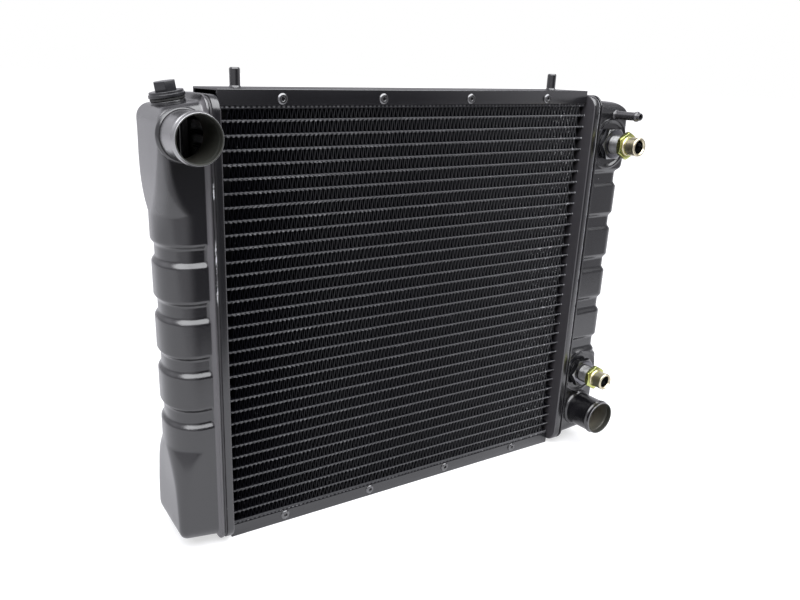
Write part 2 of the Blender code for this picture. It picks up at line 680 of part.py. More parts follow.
def hose_pipe_mesh(name):
    """Hose pipe with a solder collar on the tank and a bead behind its end."""
    outer = PIPE_DIAMETER / 2
    inner = outer - PIPE_WALL
    collar_top = CLEAR + COLLAR_THICKNESS
    bead = PIPE_LENGTH - PIPE_BEAD_BACK
    profile = [
        (inner, PIPE_LENGTH),
        (outer, PIPE_LENGTH),
        (outer, bead + PIPE_BEAD_WIDTH / 2),
        (outer + PIPE_BEAD, bead),
        (outer, bead - PIPE_BEAD_WIDTH / 2),
        (outer, collar_top),
        (COLLAR_RADIUS, CLEAR + COLLAR_THICKNESS / 3),
        (COLLAR_RADIUS, CLEAR),
        (outer, CLEAR),
        (outer, -TANK_WALL - PIPE_INSIDE),
        (inner, -TANK_WALL - PIPE_INSIDE),
    ]
    return turned_mesh(name, profile, PIPE_SIDES, True)


def build_hose_pipe(builder, name, shell, tank, out, up):
    place = front_place(out, tank.side, up)
    builder.part(name, hose_pipe_mesh(name), BLACK_PAINT, place)
    drill(builder, shell, f"{name} hole", PIPE_DIAMETER + 2 * CLEAR, 3 * TANK_WALL, place, PIPE_SIDES)
    drill(builder, shell, f"{name} seat", 2 * COLLAR_RADIUS + 2 * CLEAR, CLEAR / 2, place, PIPE_SIDES)


def build_vent_spigot(builder, shell):
    outer = SPIGOT_DIAMETER / 2
    bead = SPIGOT_LENGTH - SPIGOT_DIAMETER / 2
    profile = [
        (SPIGOT_BORE / 2, SPIGOT_LENGTH),
        (SPIGOT_TIP / 2, SPIGOT_LENGTH),
        (outer + SPIGOT_BEAD, bead + SPIGOT_BEAD),
        (outer + SPIGOT_BEAD, bead - SPIGOT_BEAD),
        (outer, bead - 3 * SPIGOT_BEAD),
        (outer, CLEAR + COLLAR_THICKNESS),
        (SPIGOT_COLLAR_RADIUS, CLEAR + COLLAR_THICKNESS / 3),
        (SPIGOT_COLLAR_RADIUS, CLEAR),
        (outer, CLEAR),
        (outer, -TANK_WALL - PIPE_INSIDE),
        (SPIGOT_BORE / 2, -TANK_WALL - PIPE_INSIDE),
    ]
    place = front_place(SPIGOT_OUT, OUTLET.side, SPIGOT_UP)
    builder.part("vent_spigot", turned_mesh("vent_spigot", profile, SMALL_SIDES, True), BLACK_PAINT, place)
    drill(builder, shell, "vent hole", SPIGOT_DIAMETER + 2 * CLEAR, 3 * TANK_WALL, place, SMALL_SIDES)


def stud_mesh(name):
    """Solid stud with the shoulder that seats on the inside of the tank wall."""
    shoulder = -TANK_WALL - CLEAR
    axis = -TANK_HALF_DEPTH
    profile = [
        (0, STUD_END),
        (STUD_DIAMETER / 2, STUD_END),
        (STUD_DIAMETER / 2, shoulder),
        (SHOULDER_DIAMETER / 2, shoulder),
        (SHOULDER_DIAMETER / 2, shoulder - SHOULDER_THICKNESS),
        (STUD_DIAMETER / 2, shoulder - SHOULDER_THICKNESS),
        (STUD_DIAMETER / 2, axis),
        (0, axis),
    ]
    return turned_mesh(name, profile, STUD_SIDES, False)


def build_oil_cooler(builder, shell):
    """Round oil cooler with two studs that pass through pads on the outlet tank."""
    top = UPPER_UNION_UP + COOLER_END
    bottom = LOWER_UNION_UP - COOLER_END
    axis = Matrix.Translation((at_x(UNION_OUT, OUTLET.side), 0, HALF_HEIGHT))
    body = cylinder_mesh("oil_cooler", COOLER_DIAMETER, bottom, top, STUD_SIDES)
    cooler = builder.part("oil_cooler", body, BRASS, axis)
    hollow = cylinder_mesh("cooler hollow", COOLER_DIAMETER - 2 * COOLER_WALL, bottom + COOLER_WALL,
                           top - COOLER_WALL, STUD_SIDES)
    bore = cylinder_mesh("stud bore", STUD_BORE, -TANK_HALF_DEPTH, STUD_END + 2 * SHEET, BORE_SIDES)
    stud = stud_mesh("stud")
    places = {"upper": front_place(UNION_OUT, OUTLET.side, UPPER_UNION_UP),
              "lower": front_place(UNION_OUT, OUTLET.side, LOWER_UNION_UP)}
    for name, place in places.items():
        boolean(cooler, builder.cutter(f"{name} stud", stud, place), "UNION")
    boolean(cooler, builder.cutter("cooler hollow", hollow, axis), "DIFFERENCE")
    for name, place in places.items():
        boolean(cooler, builder.cutter(f"{name} stud bore", bore, place), "DIFFERENCE")
        hole = STUD_DIAMETER + 2 * CLEAR
        drill(builder, shell, f"{name} stud hole", hole, 3 * TANK_WALL, place, STUD_SIDES)
        drill(builder, shell, f"{name} pad", PAD_DIAMETER, PAD_DEPTH, place, PIPE_SIDES)
    build_union_stack(builder, places)


def ring_mesh(name, outer, inner, start, end, sides):
    profile = [(inner / 2, end), (outer / 2, end), (outer / 2, start), (inner / 2, start)]
    return turned_mesh(name, profile, sides, True)


def lock_nut_mesh(builder):
    start = WASHER_THICKNESS + 2 * CLEAR - PAD_DEPTH
    nut = builder.cutter("lock nut", hex_mesh("lock nut", NUT_ACROSS_FLATS, start, start + NUT_THICKNESS))
    bore = cylinder_mesh("nut bore", STUD_DIAMETER + 2 * CLEAR, start - SHEET, start + 2 * NUT_THICKNESS,
                         STUD_SIDES)
    boolean(nut, builder.cutter("nut bore", bore), "DIFFERENCE")
    return baked(nut)


def union_mesh(builder):
    """Hose union: a shank in the stud's bore, a hexagon and a nose, bored through."""
    start = STUD_END + CLEAR
    nose_start = start + UNION_HEX
    nose_end = nose_start + UNION_NOSE_LENGTH
    shank = STUD_BORE / 2 - CLEAR
    profile = [
        (UNION_BORE / 2, nose_end),
        (UNION_NOSE / 2 - UNION_CHAMFER, nose_end),
        (UNION_NOSE / 2, nose_end - UNION_CHAMFER),
        (UNION_NOSE / 2, start + UNION_HEX / 2),
        (shank, start + UNION_HEX / 2),
        (shank, start - UNION_SHANK),
        (UNION_BORE / 2, start - UNION_SHANK),
    ]
    hexagon = builder.cutter("union", hex_mesh("union", UNION_ACROSS_FLATS, start, nose_start))
    bore = cylinder_mesh("union bore", STUD_BORE - 3 * CLEAR, start - SHEET, nose_start + SHEET, STUD_SIDES)
    boolean(hexagon, builder.cutter("union bore", bore), "DIFFERENCE")
    body = builder.cutter("union body", turned_mesh("union body", profile, STUD_SIDES, True))
    boolean(hexagon, body, "UNION")
    return baked(hexagon)


def build_union_stack(builder, places):
    """Washer, lock nut and union on each stud."""
    washer = ring_mesh("washer", WASHER_DIAMETER, STUD_DIAMETER + 2 * CLEAR, CLEAR - PAD_DEPTH,
                       CLEAR - PAD_DEPTH + WASHER_THICKNESS, STUD_SIDES)
    nut = lock_nut_mesh(builder)
    union = union_mesh(builder)
    for name, place in places.items():
        builder.part(f"{name}_washer", washer, BRIGHT_STEEL, place)
        builder.part(f"{name}_lock_nut", nut, DARK_STEEL, place, smooth=False)
        builder.part(f"{name}_union", union, YELLOW_ZINC, place)


def thread_mesh(name):
    """Rounded thread of the plug's stem, as a coil with closed ends."""
    points = int(THREAD_TURNS * SMALL_SIDES)
    start = -STEM_LENGTH + 2 * THREAD_RADIUS
    curve = bpy.data.curves.new(name, "CURVE")
    curve.dimensions = "3D"
    curve.bevel_depth = THREAD_RADIUS
    curve.bevel_resolution = 1
    curve.use_fill_caps = True
    spline = curve.splines.new("POLY")
    spline.points.add(points)
    for index, point in enumerate(spline.points):
        angle = 2 * math.pi * index / SMALL_SIDES
        radius = STEM_DIAMETER / 2
        height = start + THREAD_PITCH * index / SMALL_SIDES
        point.co = (radius * math.cos(angle), radius * math.sin(angle), height, 1)
    coil = bpy.data.objects.new(name, curve)
    bpy.context.scene.collection.objects.link(coil)
    bm = bmesh.new()
    bm.from_mesh(baked(coil))
    bmesh.ops.remove_doubles(bm, verts=bm.verts[:], dist=WELD)
    bpy.data.objects.remove(coil, do_unlink=True)
    return mesh_from(name, bm)


def build_filler(builder, shell):
    """Filler neck in the inlet tank's top, and the plug and seal that unscrew from it."""
    side = INLET.side
    seat_z = HALF_HEIGHT + TANK_HALF_HEIGHT - math.tan(END_SLOPE) * (PLUG_OUT - FOOT_OUT)
    axis = bpy.data.objects.new("plug_axis", None)
    builder.parts.objects.link(axis)
    lean = Matrix.Rotation(side * END_SLOPE, 4, "Y")
    axis.matrix_local = Matrix.Translation((at_x(PLUG_OUT, side), 0, seat_z)) @ lean
    collar_top = CLEAR + NECK_COLLAR_THICKNESS
    neck_profile = [
        (NECK_BORE / 2, collar_top),
        (NECK_COLLAR / 2, collar_top),
        (NECK_COLLAR / 2, CLEAR),
        (NECK_DIAMETER / 2, CLEAR),
        (NECK_DIAMETER / 2, -NECK_LENGTH),
        (NECK_BORE / 2, -NECK_LENGTH),
    ]
    neck = turned_mesh("filler_neck", neck_profile, PLUG_SIDES, True)
    builder.part("filler_neck", neck, BLACK_PAINT, Matrix(), axis)
    drill(builder, shell, "neck hole", NECK_DIAMETER + 2 * CLEAR, 3 * TANK_WALL, Matrix(), PLUG_SIDES, axis)
    seal_start = collar_top + CLEAR
    flange_start = seal_start + SEAL_THICKNESS + CLEAR
    stem_clear = STEM_DIAMETER + 2 * THREAD_RADIUS + 2 * CLEAR
    seal = ring_mesh("plug_seal", SEAL_DIAMETER, stem_clear, 0, SEAL_THICKNESS, PLUG_SIDES)
    builder.part("plug_seal", seal, BLACK_RUBBER, Matrix.Translation((0, 0, seal_start)), axis)
    build_plug(builder, axis, flange_start)


def build_plug(builder, axis, flange_start):
    profile = [
        (0, PLUG_FLANGE_THICKNESS),
        (PLUG_FLANGE / 2, PLUG_FLANGE_THICKNESS),
        (PLUG_FLANGE / 2, 0),
        (STEM_DIAMETER / 2, 0),
        (STEM_DIAMETER / 2, -STEM_LENGTH),
        (0, -STEM_LENGTH),
    ]
    place = Matrix.Translation((0, 0, flange_start))
    plug = builder.part("filler_plug", turned_mesh("filler_plug", profile, PLUG_SIDES, False), BLACK_PLASTIC,
                        place, axis)
    top = PLUG_FLANGE_THICKNESS + PLUG_HEX_HEIGHT
    head = hex_mesh("plug head", PLUG_ACROSS_FLATS, PLUG_FLANGE_THICKNESS / 2, top)
    turned = place @ Matrix.Rotation(PLUG_TURN, 4, "Z")
    boolean(plug, builder.cutter("plug head", head, turned, axis), "UNION")
    thread = builder.cutter("plug thread", thread_mesh("plug thread"), place, axis)
    boolean(plug, thread, "UNION")


def main():
    clear_scene()
    builder = Builder()
    build_core(builder)
    build_channels(builder)
    build_header(builder, "inlet_header", INLET.side)
    build_header(builder, "outlet_header", OUTLET.side)
    inlet_tank = build_tank(builder, "inlet_tank", INLET)
    outlet_tank = build_tank(builder, "outlet_tank", OUTLET)
    build_hose_pipe(builder, "inlet_pipe", inlet_tank, INLET, INLET_PIPE_OUT, INLET_PIPE_UP)
    build_hose_pipe(builder, "outlet_pipe", outlet_tank, OUTLET, OUTLET_PIPE_OUT, OUTLET_PIPE_UP)
    build_vent_spigot(builder, outlet_tank)
    build_oil_cooler(builder, outlet_tank)
    build_filler(builder, inlet_tank)


main()
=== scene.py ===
"""Car radiator: the looks of a soldered cross-flow radiator in satin black paint.

Every piece is modelled with Blender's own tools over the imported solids, which give each place. Lengths are in
metres. "Out" is the distance from a header plate's inner face towards its tank's end.
"""

import math

import bmesh
import bpy
from bpy.props import FloatProperty, FloatVectorProperty, IntProperty, PointerProperty
from mathutils import Euler, Matrix, Vector, noise


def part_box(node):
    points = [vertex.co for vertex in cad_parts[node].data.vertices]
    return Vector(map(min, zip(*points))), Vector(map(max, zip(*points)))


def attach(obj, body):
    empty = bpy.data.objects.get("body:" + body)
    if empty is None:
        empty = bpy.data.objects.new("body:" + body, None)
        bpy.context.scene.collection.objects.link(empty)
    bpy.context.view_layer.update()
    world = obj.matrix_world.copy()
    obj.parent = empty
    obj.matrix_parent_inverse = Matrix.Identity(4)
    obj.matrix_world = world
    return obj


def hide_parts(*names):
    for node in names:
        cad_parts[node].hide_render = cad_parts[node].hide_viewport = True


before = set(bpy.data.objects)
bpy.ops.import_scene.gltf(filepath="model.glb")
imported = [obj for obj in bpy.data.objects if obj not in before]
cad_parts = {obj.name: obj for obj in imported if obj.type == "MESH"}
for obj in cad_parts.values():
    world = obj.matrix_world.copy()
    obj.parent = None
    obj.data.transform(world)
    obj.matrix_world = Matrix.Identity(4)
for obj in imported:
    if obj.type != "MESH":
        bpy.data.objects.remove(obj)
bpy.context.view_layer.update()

bl_info = {
    "name": "Car Radiator",
    "version": (1, 0, 0),
    "blender": (4, 5, 0),
    "location": "3D View > Sidebar > Radiator",
    "description": "Models a soldered cross-flow car radiator over its solids",
    "category": "Object",
}

MM = 0.001


def middle_of(node):
    low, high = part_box(node)
    return (low + high) / 2


def axis_of(node):
    """(x, z) of the axis of a fitting on a tank's front, in millimetres."""
    middle = middle_of(node) / MM
    return middle.x, middle.z


PLATE_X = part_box("outlet_header")[0].x     # inner face of a header plate
MIDDLE = middle_of("outlet_header").z
FRONT = -38 * MM                           # plain front of the tanks
CHANNEL_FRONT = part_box("top_channel")[0].y
CHANNEL_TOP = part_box("top_channel")[1].z
DOWN_FRONT = Matrix.Rotation(math.radians(90), 4, "X")     # turns +Z to -Y
WHITE, COOL = (1, 1, 1), (0.95, 0.94, 1.0)     # light to the camera, and to the radiator
SIDES = 48                                 # steps round most turned pieces

# The core
TUBES = 32
TUBE_HEIGHT = 2.4 * MM
TUBE_HALF_LENGTH, TUBE_HALF_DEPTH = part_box("tube_pair_01")[1].xy
TUBE_PITCH = (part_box("tube_pair_02")[0].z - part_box("tube_pair_01")[0].z) / 2
FIRST_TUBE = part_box("tube_pair_01")[0].z + TUBE_HEIGHT / 2     # middle of the lowest tube
FIN_GAP = TUBE_PITCH - TUBE_HEIGHT
FIN_LENGTH = 420 * MM

# The fittings
INLET_PIPE = axis_of("inlet_pipe")
OUTLET_PIPE = axis_of("outlet_pipe")
SPIGOT = axis_of("vent_spigot")
UNIONS = {where: axis_of(f"{where}_union") for where in ("upper", "lower")}
FILLER = Vector((-250.0, 0, 421.3)) * MM       # middle of the plug's seat
FILLER_TILT = math.radians(-9)


def length_prop(name, description, size):
    """A length, with its default in millimetres."""
    return FloatProperty(name=name, description=description, default=size * MM, unit="LENGTH")


def colour_prop(name, description, colour):
    return FloatVectorProperty(name=name, description=description, default=colour, subtype="COLOR")


def level_prop(name, description, level):
    return FloatProperty(name=name, description=description, default=level)


class RadiatorSizes(bpy.types.PropertyGroup):
    """Sizes of the pieces that are finer than the solids"""

    fin_pitch: length_prop("Fin pitch", "Length of one fold of the fins", 4.7)
    fin_sheet: length_prop("Fin sheet", "Thickness of the folded strip", 0.33)
    fin_setback: length_prop("Fin setback", "Fin edge behind the tube's nose", 0.1)
    fin_lap: length_prop("Fin lap", "Fold past the edge of the tube's nose", 0.7)
    fin_wander: length_prop("Fin wander", "How far a fold strays from its place", 0.22)
    tank_wall: length_prop("Tank wall", "Thickness of the tanks' sheet", 1.8)
    groove_depth: length_prop("Groove depth", "Depth of the pressed grooves", 3.4)
    groove_width: length_prop("Groove width", "Groove from edge to edge", 22.3)
    groove_floor: length_prop("Groove floor", "Flat floor of a groove", 9.5)
    fold: length_prop("Fold radius", "Outer radius of the channels' folds", 0.9)
    flange: length_prop("Flange", "Height of the channels' flanges", 13.3)
    thread_pitch: length_prop("Thread pitch", "Pitch of the studs' thread", 1.5)
    sides: IntProperty(name="Sides", description="Steps round a hose pipe", default=56, min=12)


class RadiatorFinish(bpy.types.PropertyGroup):
    """Colours of the finishes"""

    paint: colour_prop("Paint", "Satin black paint", (0.0045, 0.0044, 0.0056))
    core: colour_prop("Core paint", "Thin black paint on fins and tubes", (0.0024, 0.0024, 0.0040))
    # this colour is also painted as highlights on the core's edges and as sheen on the inlet tank's upper end
    dust_and_sheen: colour_prop("Dust", "Dust and scuffs on the paint", (0.30, 0.30, 0.31))
    # the film is also laid all over the vent spigot as painted sheen
    film: colour_prop("Film", "Dull film in corners of the paint", (0.058, 0.055, 0.060))
    solder: colour_prop("Solder", "Bare solder", (0.52, 0.52, 0.54))
    zinc: colour_prop("Yellow zinc", "Passivated unions", (0.48, 0.46, 0.12))
    steel: colour_prop("Steel", "Bare steel", (0.56, 0.56, 0.56))
    dark_steel: colour_prop("Dark steel", "Blackened nuts", (0.085, 0.085, 0.092))
    brass: colour_prop("Brass", "Bare brass", (0.62, 0.48, 0.24))
    plastic: colour_prop("Plastic", "Moulded plug", (0.012, 0.012, 0.014))
    rubber: colour_prop("Rubber", "Seal under the plug", (0.012, 0.012, 0.012))


class RadiatorStudio(bpy.types.PropertyGroup):
    """Floor and light"""

    floor: colour_prop("Floor", "Pale floor", (0.48, 0.48, 0.49))
    lamp: FloatProperty(
        name="Lamp", description="Power of the soft lamp overhead", default=122.0, unit="POWER")
    surround: level_prop("Surround", "Brightness of the room above the floor", 0.12)
    ceiling: level_prop("Ceiling", "Brightness added overhead", 0.5)
    backdrop: level_prop("Backdrop", "Brightness of the walls and far floor as gloss sees them", 0.78)
    glow: level_prop("Floor glow", "White of the floor as gloss sees it", 0.44)
    white: level_prop("Floor white", "White of the floor as the camera sees it", 0.62)
    front_edge: length_prop("Front edge", "Floor in front of the middle", 520)


# Selecting and shaping


class Edit:
    """Edit mode on one piece, with selection by a test."""

    def __init__(self, piece):
        self.piece = piece

    def __enter__(self):
        only(self.piece)
        bpy.ops.object.mode_set(mode="EDIT")
        return self

    def __exit__(self, *problem):
        bpy.ops.object.mode_set(mode="OBJECT")

    def pick(self, kind, test):
        """Selects the verts, edges or faces that pass the test, and nothing else."""
        bpy.ops.mesh.select_mode(type=kind)
        bpy.ops.mesh.select_all(action="DESELECT")
        mesh = bmesh.from_edit_mesh(self.piece.data)
        mesh.normal_update()
        items = {"VERT": mesh.verts, "EDGE": mesh.edges, "FACE": mesh.faces}[kind]
        for item in items:
            if test(item):
                item.select_set(True)
        mesh.select_flush_mode()
        bmesh.update_edit_mesh(self.piece.data)

    def whole(self):
        bpy.ops.mesh.select_all(action="SELECT")

    def weld(self, distance):
        """Merges vertices that are closer than this."""
        self.whole()
        bpy.ops.mesh.remove_doubles(threshold=distance)

    def outward(self):
        """Turns the faces of a closed shape outwards."""
        self.whole()
        bpy.ops.mesh.normals_make_consistent(inside=False)

    def extrude(self, *way):
        """Extrudes what is selected this far along X, Y and Z."""
        bpy.ops.mesh.extrude_region_move(TRANSFORM_OT_translate={"value": way})

    def place(self, where):
        """Moves every vertex to where(its place)."""
        mesh = bmesh.from_edit_mesh(self.piece.data)
        for vertex in mesh.verts:
            vertex.co = where(vertex.co)
        bmesh.update_edit_mesh(self.piece.data)


def only(*pieces):
    """Selects these pieces alone and makes the first one active."""
    bpy.ops.object.select_all(action="DESELECT")
    for piece in pieces:
        piece.select_set(True)
    bpy.context.view_layer.objects.active = pieces[0]


def named(name):
    piece = bpy.context.object
    piece.name = name
    piece.data.name = name
    return piece


def added(name, kind, **settings):
    """A primitive of this kind, with nothing else selected, as the start of a piece."""
    bpy.ops.object.select_all(action="DESELECT")
    getattr(bpy.ops.mesh, f"primitive_{kind}_add")(**settings)
    return named(name)


def settle(piece, matrix=None):
    """Puts the piece's place into its mesh."""
    if matrix is not None:
        piece.matrix_world = matrix @ piece.matrix_world
    only(piece)
    bpy.ops.object.transform_apply(location=True, rotation=True, scale=True)
    return piece


def block(name, low, high):
    """A box between two corners, as the start of a piece."""
    low, high = Vector(low), Vector(high)
    return settle(added(name, "cube", size=1, location=(low + high) / 2, scale=high - low))


def along(axis):
    """A test for edges that run along an axis."""
    def test(edge):
        run = (edge.verts[1].co - edge.verts[0].co).normalized()
        return abs(run[axis]) > 0.99
    return test


def facing(axis, sign):
    """A test for faces that look along an axis."""
    return lambda face: face.normal[axis] * sign > 0.99


def bevel(offset, segments):
    bpy.ops.mesh.bevel(offset=offset, segments=segments, affect="EDGES", clamp_overlap=True)


def modified(piece, kind, **settings):
    """Adds a modifier with these settings and applies it."""
    modifier = piece.modifiers.new(kind.lower(), kind)
    for key, value in settings.items():
        setattr(modifier, key, value)
    only(piece)
    bpy.ops.object.modifier_apply(modifier=modifier.name)
    return piece


def eased(piece, width, angle=50):
    """Bevels the sharp edges of a piece. Width in millimetres."""
    return modified(piece, "BEVEL", width=width * MM, segments=2, limit_method="ANGLE",
                    angle_limit=math.radians(angle))


def joined(name, *pieces):
    only(*pieces)
    if len(pieces) > 1:
        bpy.ops.object.join()
    return named(name)


def copied(piece, matrix):
    """A copy with its own mesh, moved."""
    only(piece)
    bpy.ops.object.duplicate(linked=False)
    return settle(bpy.context.object, matrix)


def removed(*pieces):
    only(*pieces)
    bpy.ops.object.delete()


def cut(piece, cutter, operation="DIFFERENCE"):
    modified(piece, "BOOLEAN", object=cutter, operation=operation, solver="EXACT")
    removed(cutter)
    return piece


def rounded(corners, closed=True, steps=4):
    """A profile of (radius, height, round) corners, each corner replaced by an arc."""
    points = []
    count = len(corners)
    for index, (radius, height, size) in enumerate(corners):
        here = Vector((radius, height))
        if size == 0 or (not closed and index in (0, count - 1)):
            points.append(here)
            continue
        before = Vector(corners[index - 1][:2]) - here
        after = Vector(corners[(index + 1) % count][:2]) - here
        half = before.angle(after) / 2
        reach = min(size / math.tan(half), before.length * 0.49, after.length * 0.49)
        start, end = here + before.normalized() * reach, here + after.normalized() * reach
        for step in range(steps + 1):
            share = step / steps
            points.append((1 - share) ** 2 * start + 2 * share * (1 - share) * here + share ** 2 * end)
    return points


def turned(name, profile, matrix, sides=SIDES, closed=True):
    """A profile of (radius, height) points spun about Z. An open profile starts and ends on the axis."""
    piece = added(name, "circle", vertices=len(profile), fill_type="NOTHING")
    with Edit(piece) as edit:
        mesh = bmesh.from_edit_mesh(piece.data)
        mesh.verts.ensure_lookup_table()
        for vertex, (radius, height) in zip(mesh.verts, profile):
            vertex.co = (radius * MM, 0, height * MM)
        first, last = mesh.verts[0], mesh.verts[len(profile) - 1]
        if not closed:
            edit.pick("EDGE", lambda edge: first in edge.verts and last in edge.verts)
            bpy.ops.mesh.delete(type="EDGE")
        edit.whole()
        bpy.ops.mesh.spin(steps=sides, angle=math.tau, center=(0, 0, 0), axis=(0, 0, 1))
        edit.weld(1e-7)
        edit.outward()
    return settle(piece, matrix)


def hexagon(name, across, low, high, chamfer, bore, matrix, turn=0.0, edge=0.25):
    """A hexagon with turned chamfers, bored through if it has a bore. Sizes in millimetres."""
    corner = across / math.sqrt(3)
    piece = settle(added(name, "cylinder", vertices=6, radius=corner * MM, depth=(high - low) * MM,
                         location=(0, 0, (low + high) / 2 * MM), rotation=(0, 0, turn)))
    rim, flat = corner + 0.5, across / 2 - 0.2
    drop = (rim - flat) * math.tan(math.radians(30))
    foot, top = ((flat, drop) if chamfered else (rim, 0.2) for chamfered in chamfer)
    cone = [(0, low), (foot[0], low), (rim, low + foot[1]), (rim, high - top[1]), (top[0], high), (0, high)]
    cut(piece, turned("cone", cone, Matrix(), closed=False), "INTERSECT")
    if bore:
        hole = [(0, low - 2), (bore / 2, low - 2), (bore / 2, high + 2), (0, high + 2)]
        cut(piece, turned("hole", hole, Matrix(), closed=False))
    return settle(eased(piece, edge, 35), matrix)


def done(piece, material, body="radiator", nodes=(), angle=32):
    """Welds and smooths a piece, paints it if it isn't painted yet, and sets it on its body."""
    with Edit(piece) as edit:
        edit.weld(1e-6)
    only(piece)
    bpy.ops.object.shade_smooth_by_angle(angle=math.radians(angle))
    if material:
        piece.data.materials.clear()
        piece.data.materials.append(material)
    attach(piece, body)
    if nodes:
        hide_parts(*nodes)
    return piece


def painted(piece, material, test=None):
    """Adds a finish to a piece, all over or on the faces that pass a test."""
    piece.data.materials.append(material)
    if test:
        with Edit(piece) as edit:
            edit.pick("FACE", test)
            piece.active_material_index = len(piece.data.materials) - 1
            bpy.ops.object.material_slot_assign()
    return piece


def repainted(node, material):
    """Gives a solid that stays its finish."""
    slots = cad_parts[node].data.materials
    slots.clear()
    slots.append(material)


def on_front(x, z):
    """A place on the tanks' plain front, with +Z turned out of it. Sizes in millimetres."""
    return Matrix.Translation((x * MM, FRONT, z * MM)) @ DOWN_FRONT


def within(x, z, radius):
    """A test for faces within a radius of an axis along Y. Sizes in millimetres."""
    middle = Vector((x * MM, z * MM))
    return lambda face: all((vertex.co.xz - middle).length < radius * MM for vertex in face.verts)


def smooth(value):
    """0 below 0, 1 above 1, and a soft step between."""
    value = min(max(value, 0.0), 1.0)
    return value * value * (3 - 2 * value)


# Finishes


def maths(operation, swapped=False):
    """A method that adds a Math node on its value and the other ones."""
    def method(self, *others):
        values = (*others, self) if swapped else (self, *others)
        return self.finish.node("ShaderNodeMath", {"operation": operation}, dict(enumerate(values)))
    return method


class Shade:
    """A value or colour in a node tree, with arithmetic on values."""

    __add__ = __radd__ = maths("ADD")
    __sub__, __rsub__ = maths("SUBTRACT"), maths("SUBTRACT", swapped=True)
    __mul__ = __rmul__ = maths("MULTIPLY")
    __truediv__, __rtruediv__ = maths("DIVIDE"), maths("DIVIDE", swapped=True)
    __pow__ = maths("POWER")
    __gt__, __lt__ = maths("GREATER_THAN"), maths("LESS_THAN")
    __abs__ = maths("ABSOLUTE")
    least, most = maths("MINIMUM"), maths("MAXIMUM")
    wrap, ping_pong = maths("WRAP"), maths("PINGPONG")

    def __init__(self, finish, socket):
        self.finish, self.socket = finish, socket

    def wrapped(self, half):
        """The value less the nearest multiple of two halves."""
        return self.wrap(half, -half)

    def fold(self, width):
        """0 at every other multiple of the width and 1 at those between."""
        return self.ping_pong(width) / width

    def step(self, low, high):
        """0 at low and 1 at high, with a soft step between."""
        return self.finish.node(
            "ShaderNodeMapRange", {"interpolation_type": "SMOOTHSTEP"},
            {"Value": self, "From Min": low, "From Max": high})


class Finish:
    """A node tree being written: a material, or the world."""

    def __init__(self, name=None, tree=None):
        if tree is None:
            self.material = bpy.data.materials.new(name)
            self.material.use_nodes = True
            tree = self.material.node_tree
            self.shader = next(node for node in tree.nodes if node.type == "BSDF_PRINCIPLED")
        self.tree = tree

    def node(self, kind, settings=None, inputs=None, output=0):
        """Adds a node of this type with its settings and its inputs, and gives one output."""
        node = self.tree.nodes.new(kind)
        for key, value in (settings or {}).items():
            setattr(node, key, value)
        for key, value in (inputs or {}).items():
            self.feed(node.inputs[key], value)
        return Shade(self, node.outputs[output])

    def feed(self, socket, value):
        if isinstance(value, Shade):
            self.tree.links.new(value.socket, socket)
        elif hasattr(socket.default_value, "__len__") and len(socket.default_value) == 4 and len(value) == 3:
            socket.default_value = (*value, 1.0)
        else:
            socket.default_value = value

    def place(self):
        return self.node("ShaderNodeTexCoord", output="Object")

    def axes(self, vector=None):
        """The three parts of a place."""
        split = self.node("ShaderNodeSeparateXYZ", None, {0: vector or self.place()})
        return [Shade(self, socket) for socket in split.socket.node.outputs]

    def facing(self):
        """The three parts of the way that the surface faces."""
        return self.axes(self.node("ShaderNodeTexCoord", output="Normal"))

    def stretched(self, scale):
        """Object coordinates with each axis scaled, for streaks and strips."""
        return self.node("ShaderNodeMapping", None, {"Vector": self.place(), "Scale": scale})

    def noise(self, scale, detail=3.0, roughness=0.5, vector=None):
        return self.node("ShaderNodeTexNoise", None, {
            "Vector": vector or self.place(), "Scale": scale, "Detail": detail, "Roughness": roughness})

    def specks(self, scale, size, share):
        """Small round spots in a share of the cells of a pattern."""
        inputs = {"Vector": self.place(), "Scale": scale}
        distance = self.node("ShaderNodeTexVoronoi", None, inputs, "Distance")
        chance = self.node("ShaderNodeSeparateColor", None, {
            0: self.node("ShaderNodeTexVoronoi", None, inputs, "Color")})
        return (1 - distance.step(size * 0.6, size)) * (chance > 1 - share)

    def mix(self, factor, first, second):
        node = self.tree.nodes.new("ShaderNodeMix")
        node.data_type = "RGBA"
        for socket, value in zip((node.inputs[0], node.inputs[6], node.inputs[7]), (factor, first, second)):
            self.feed(socket, value)
        return Shade(self, node.outputs[2])

    def bump(self, height, strength, distance):
        inputs = {"Height": height, "Strength": strength, "Distance": distance}
        return self.node("ShaderNodeBump", None, inputs, "Normal")

    def set(self, **sockets):
        """Sets or links the shader's sockets, with _ for a space in a socket's name."""
        for key, value in sockets.items():
            self.feed(self.shader.inputs[key.replace("_", " ")], value)
        return self.material


def tint(colour, factor):
    return tuple(part * factor for part in colour)


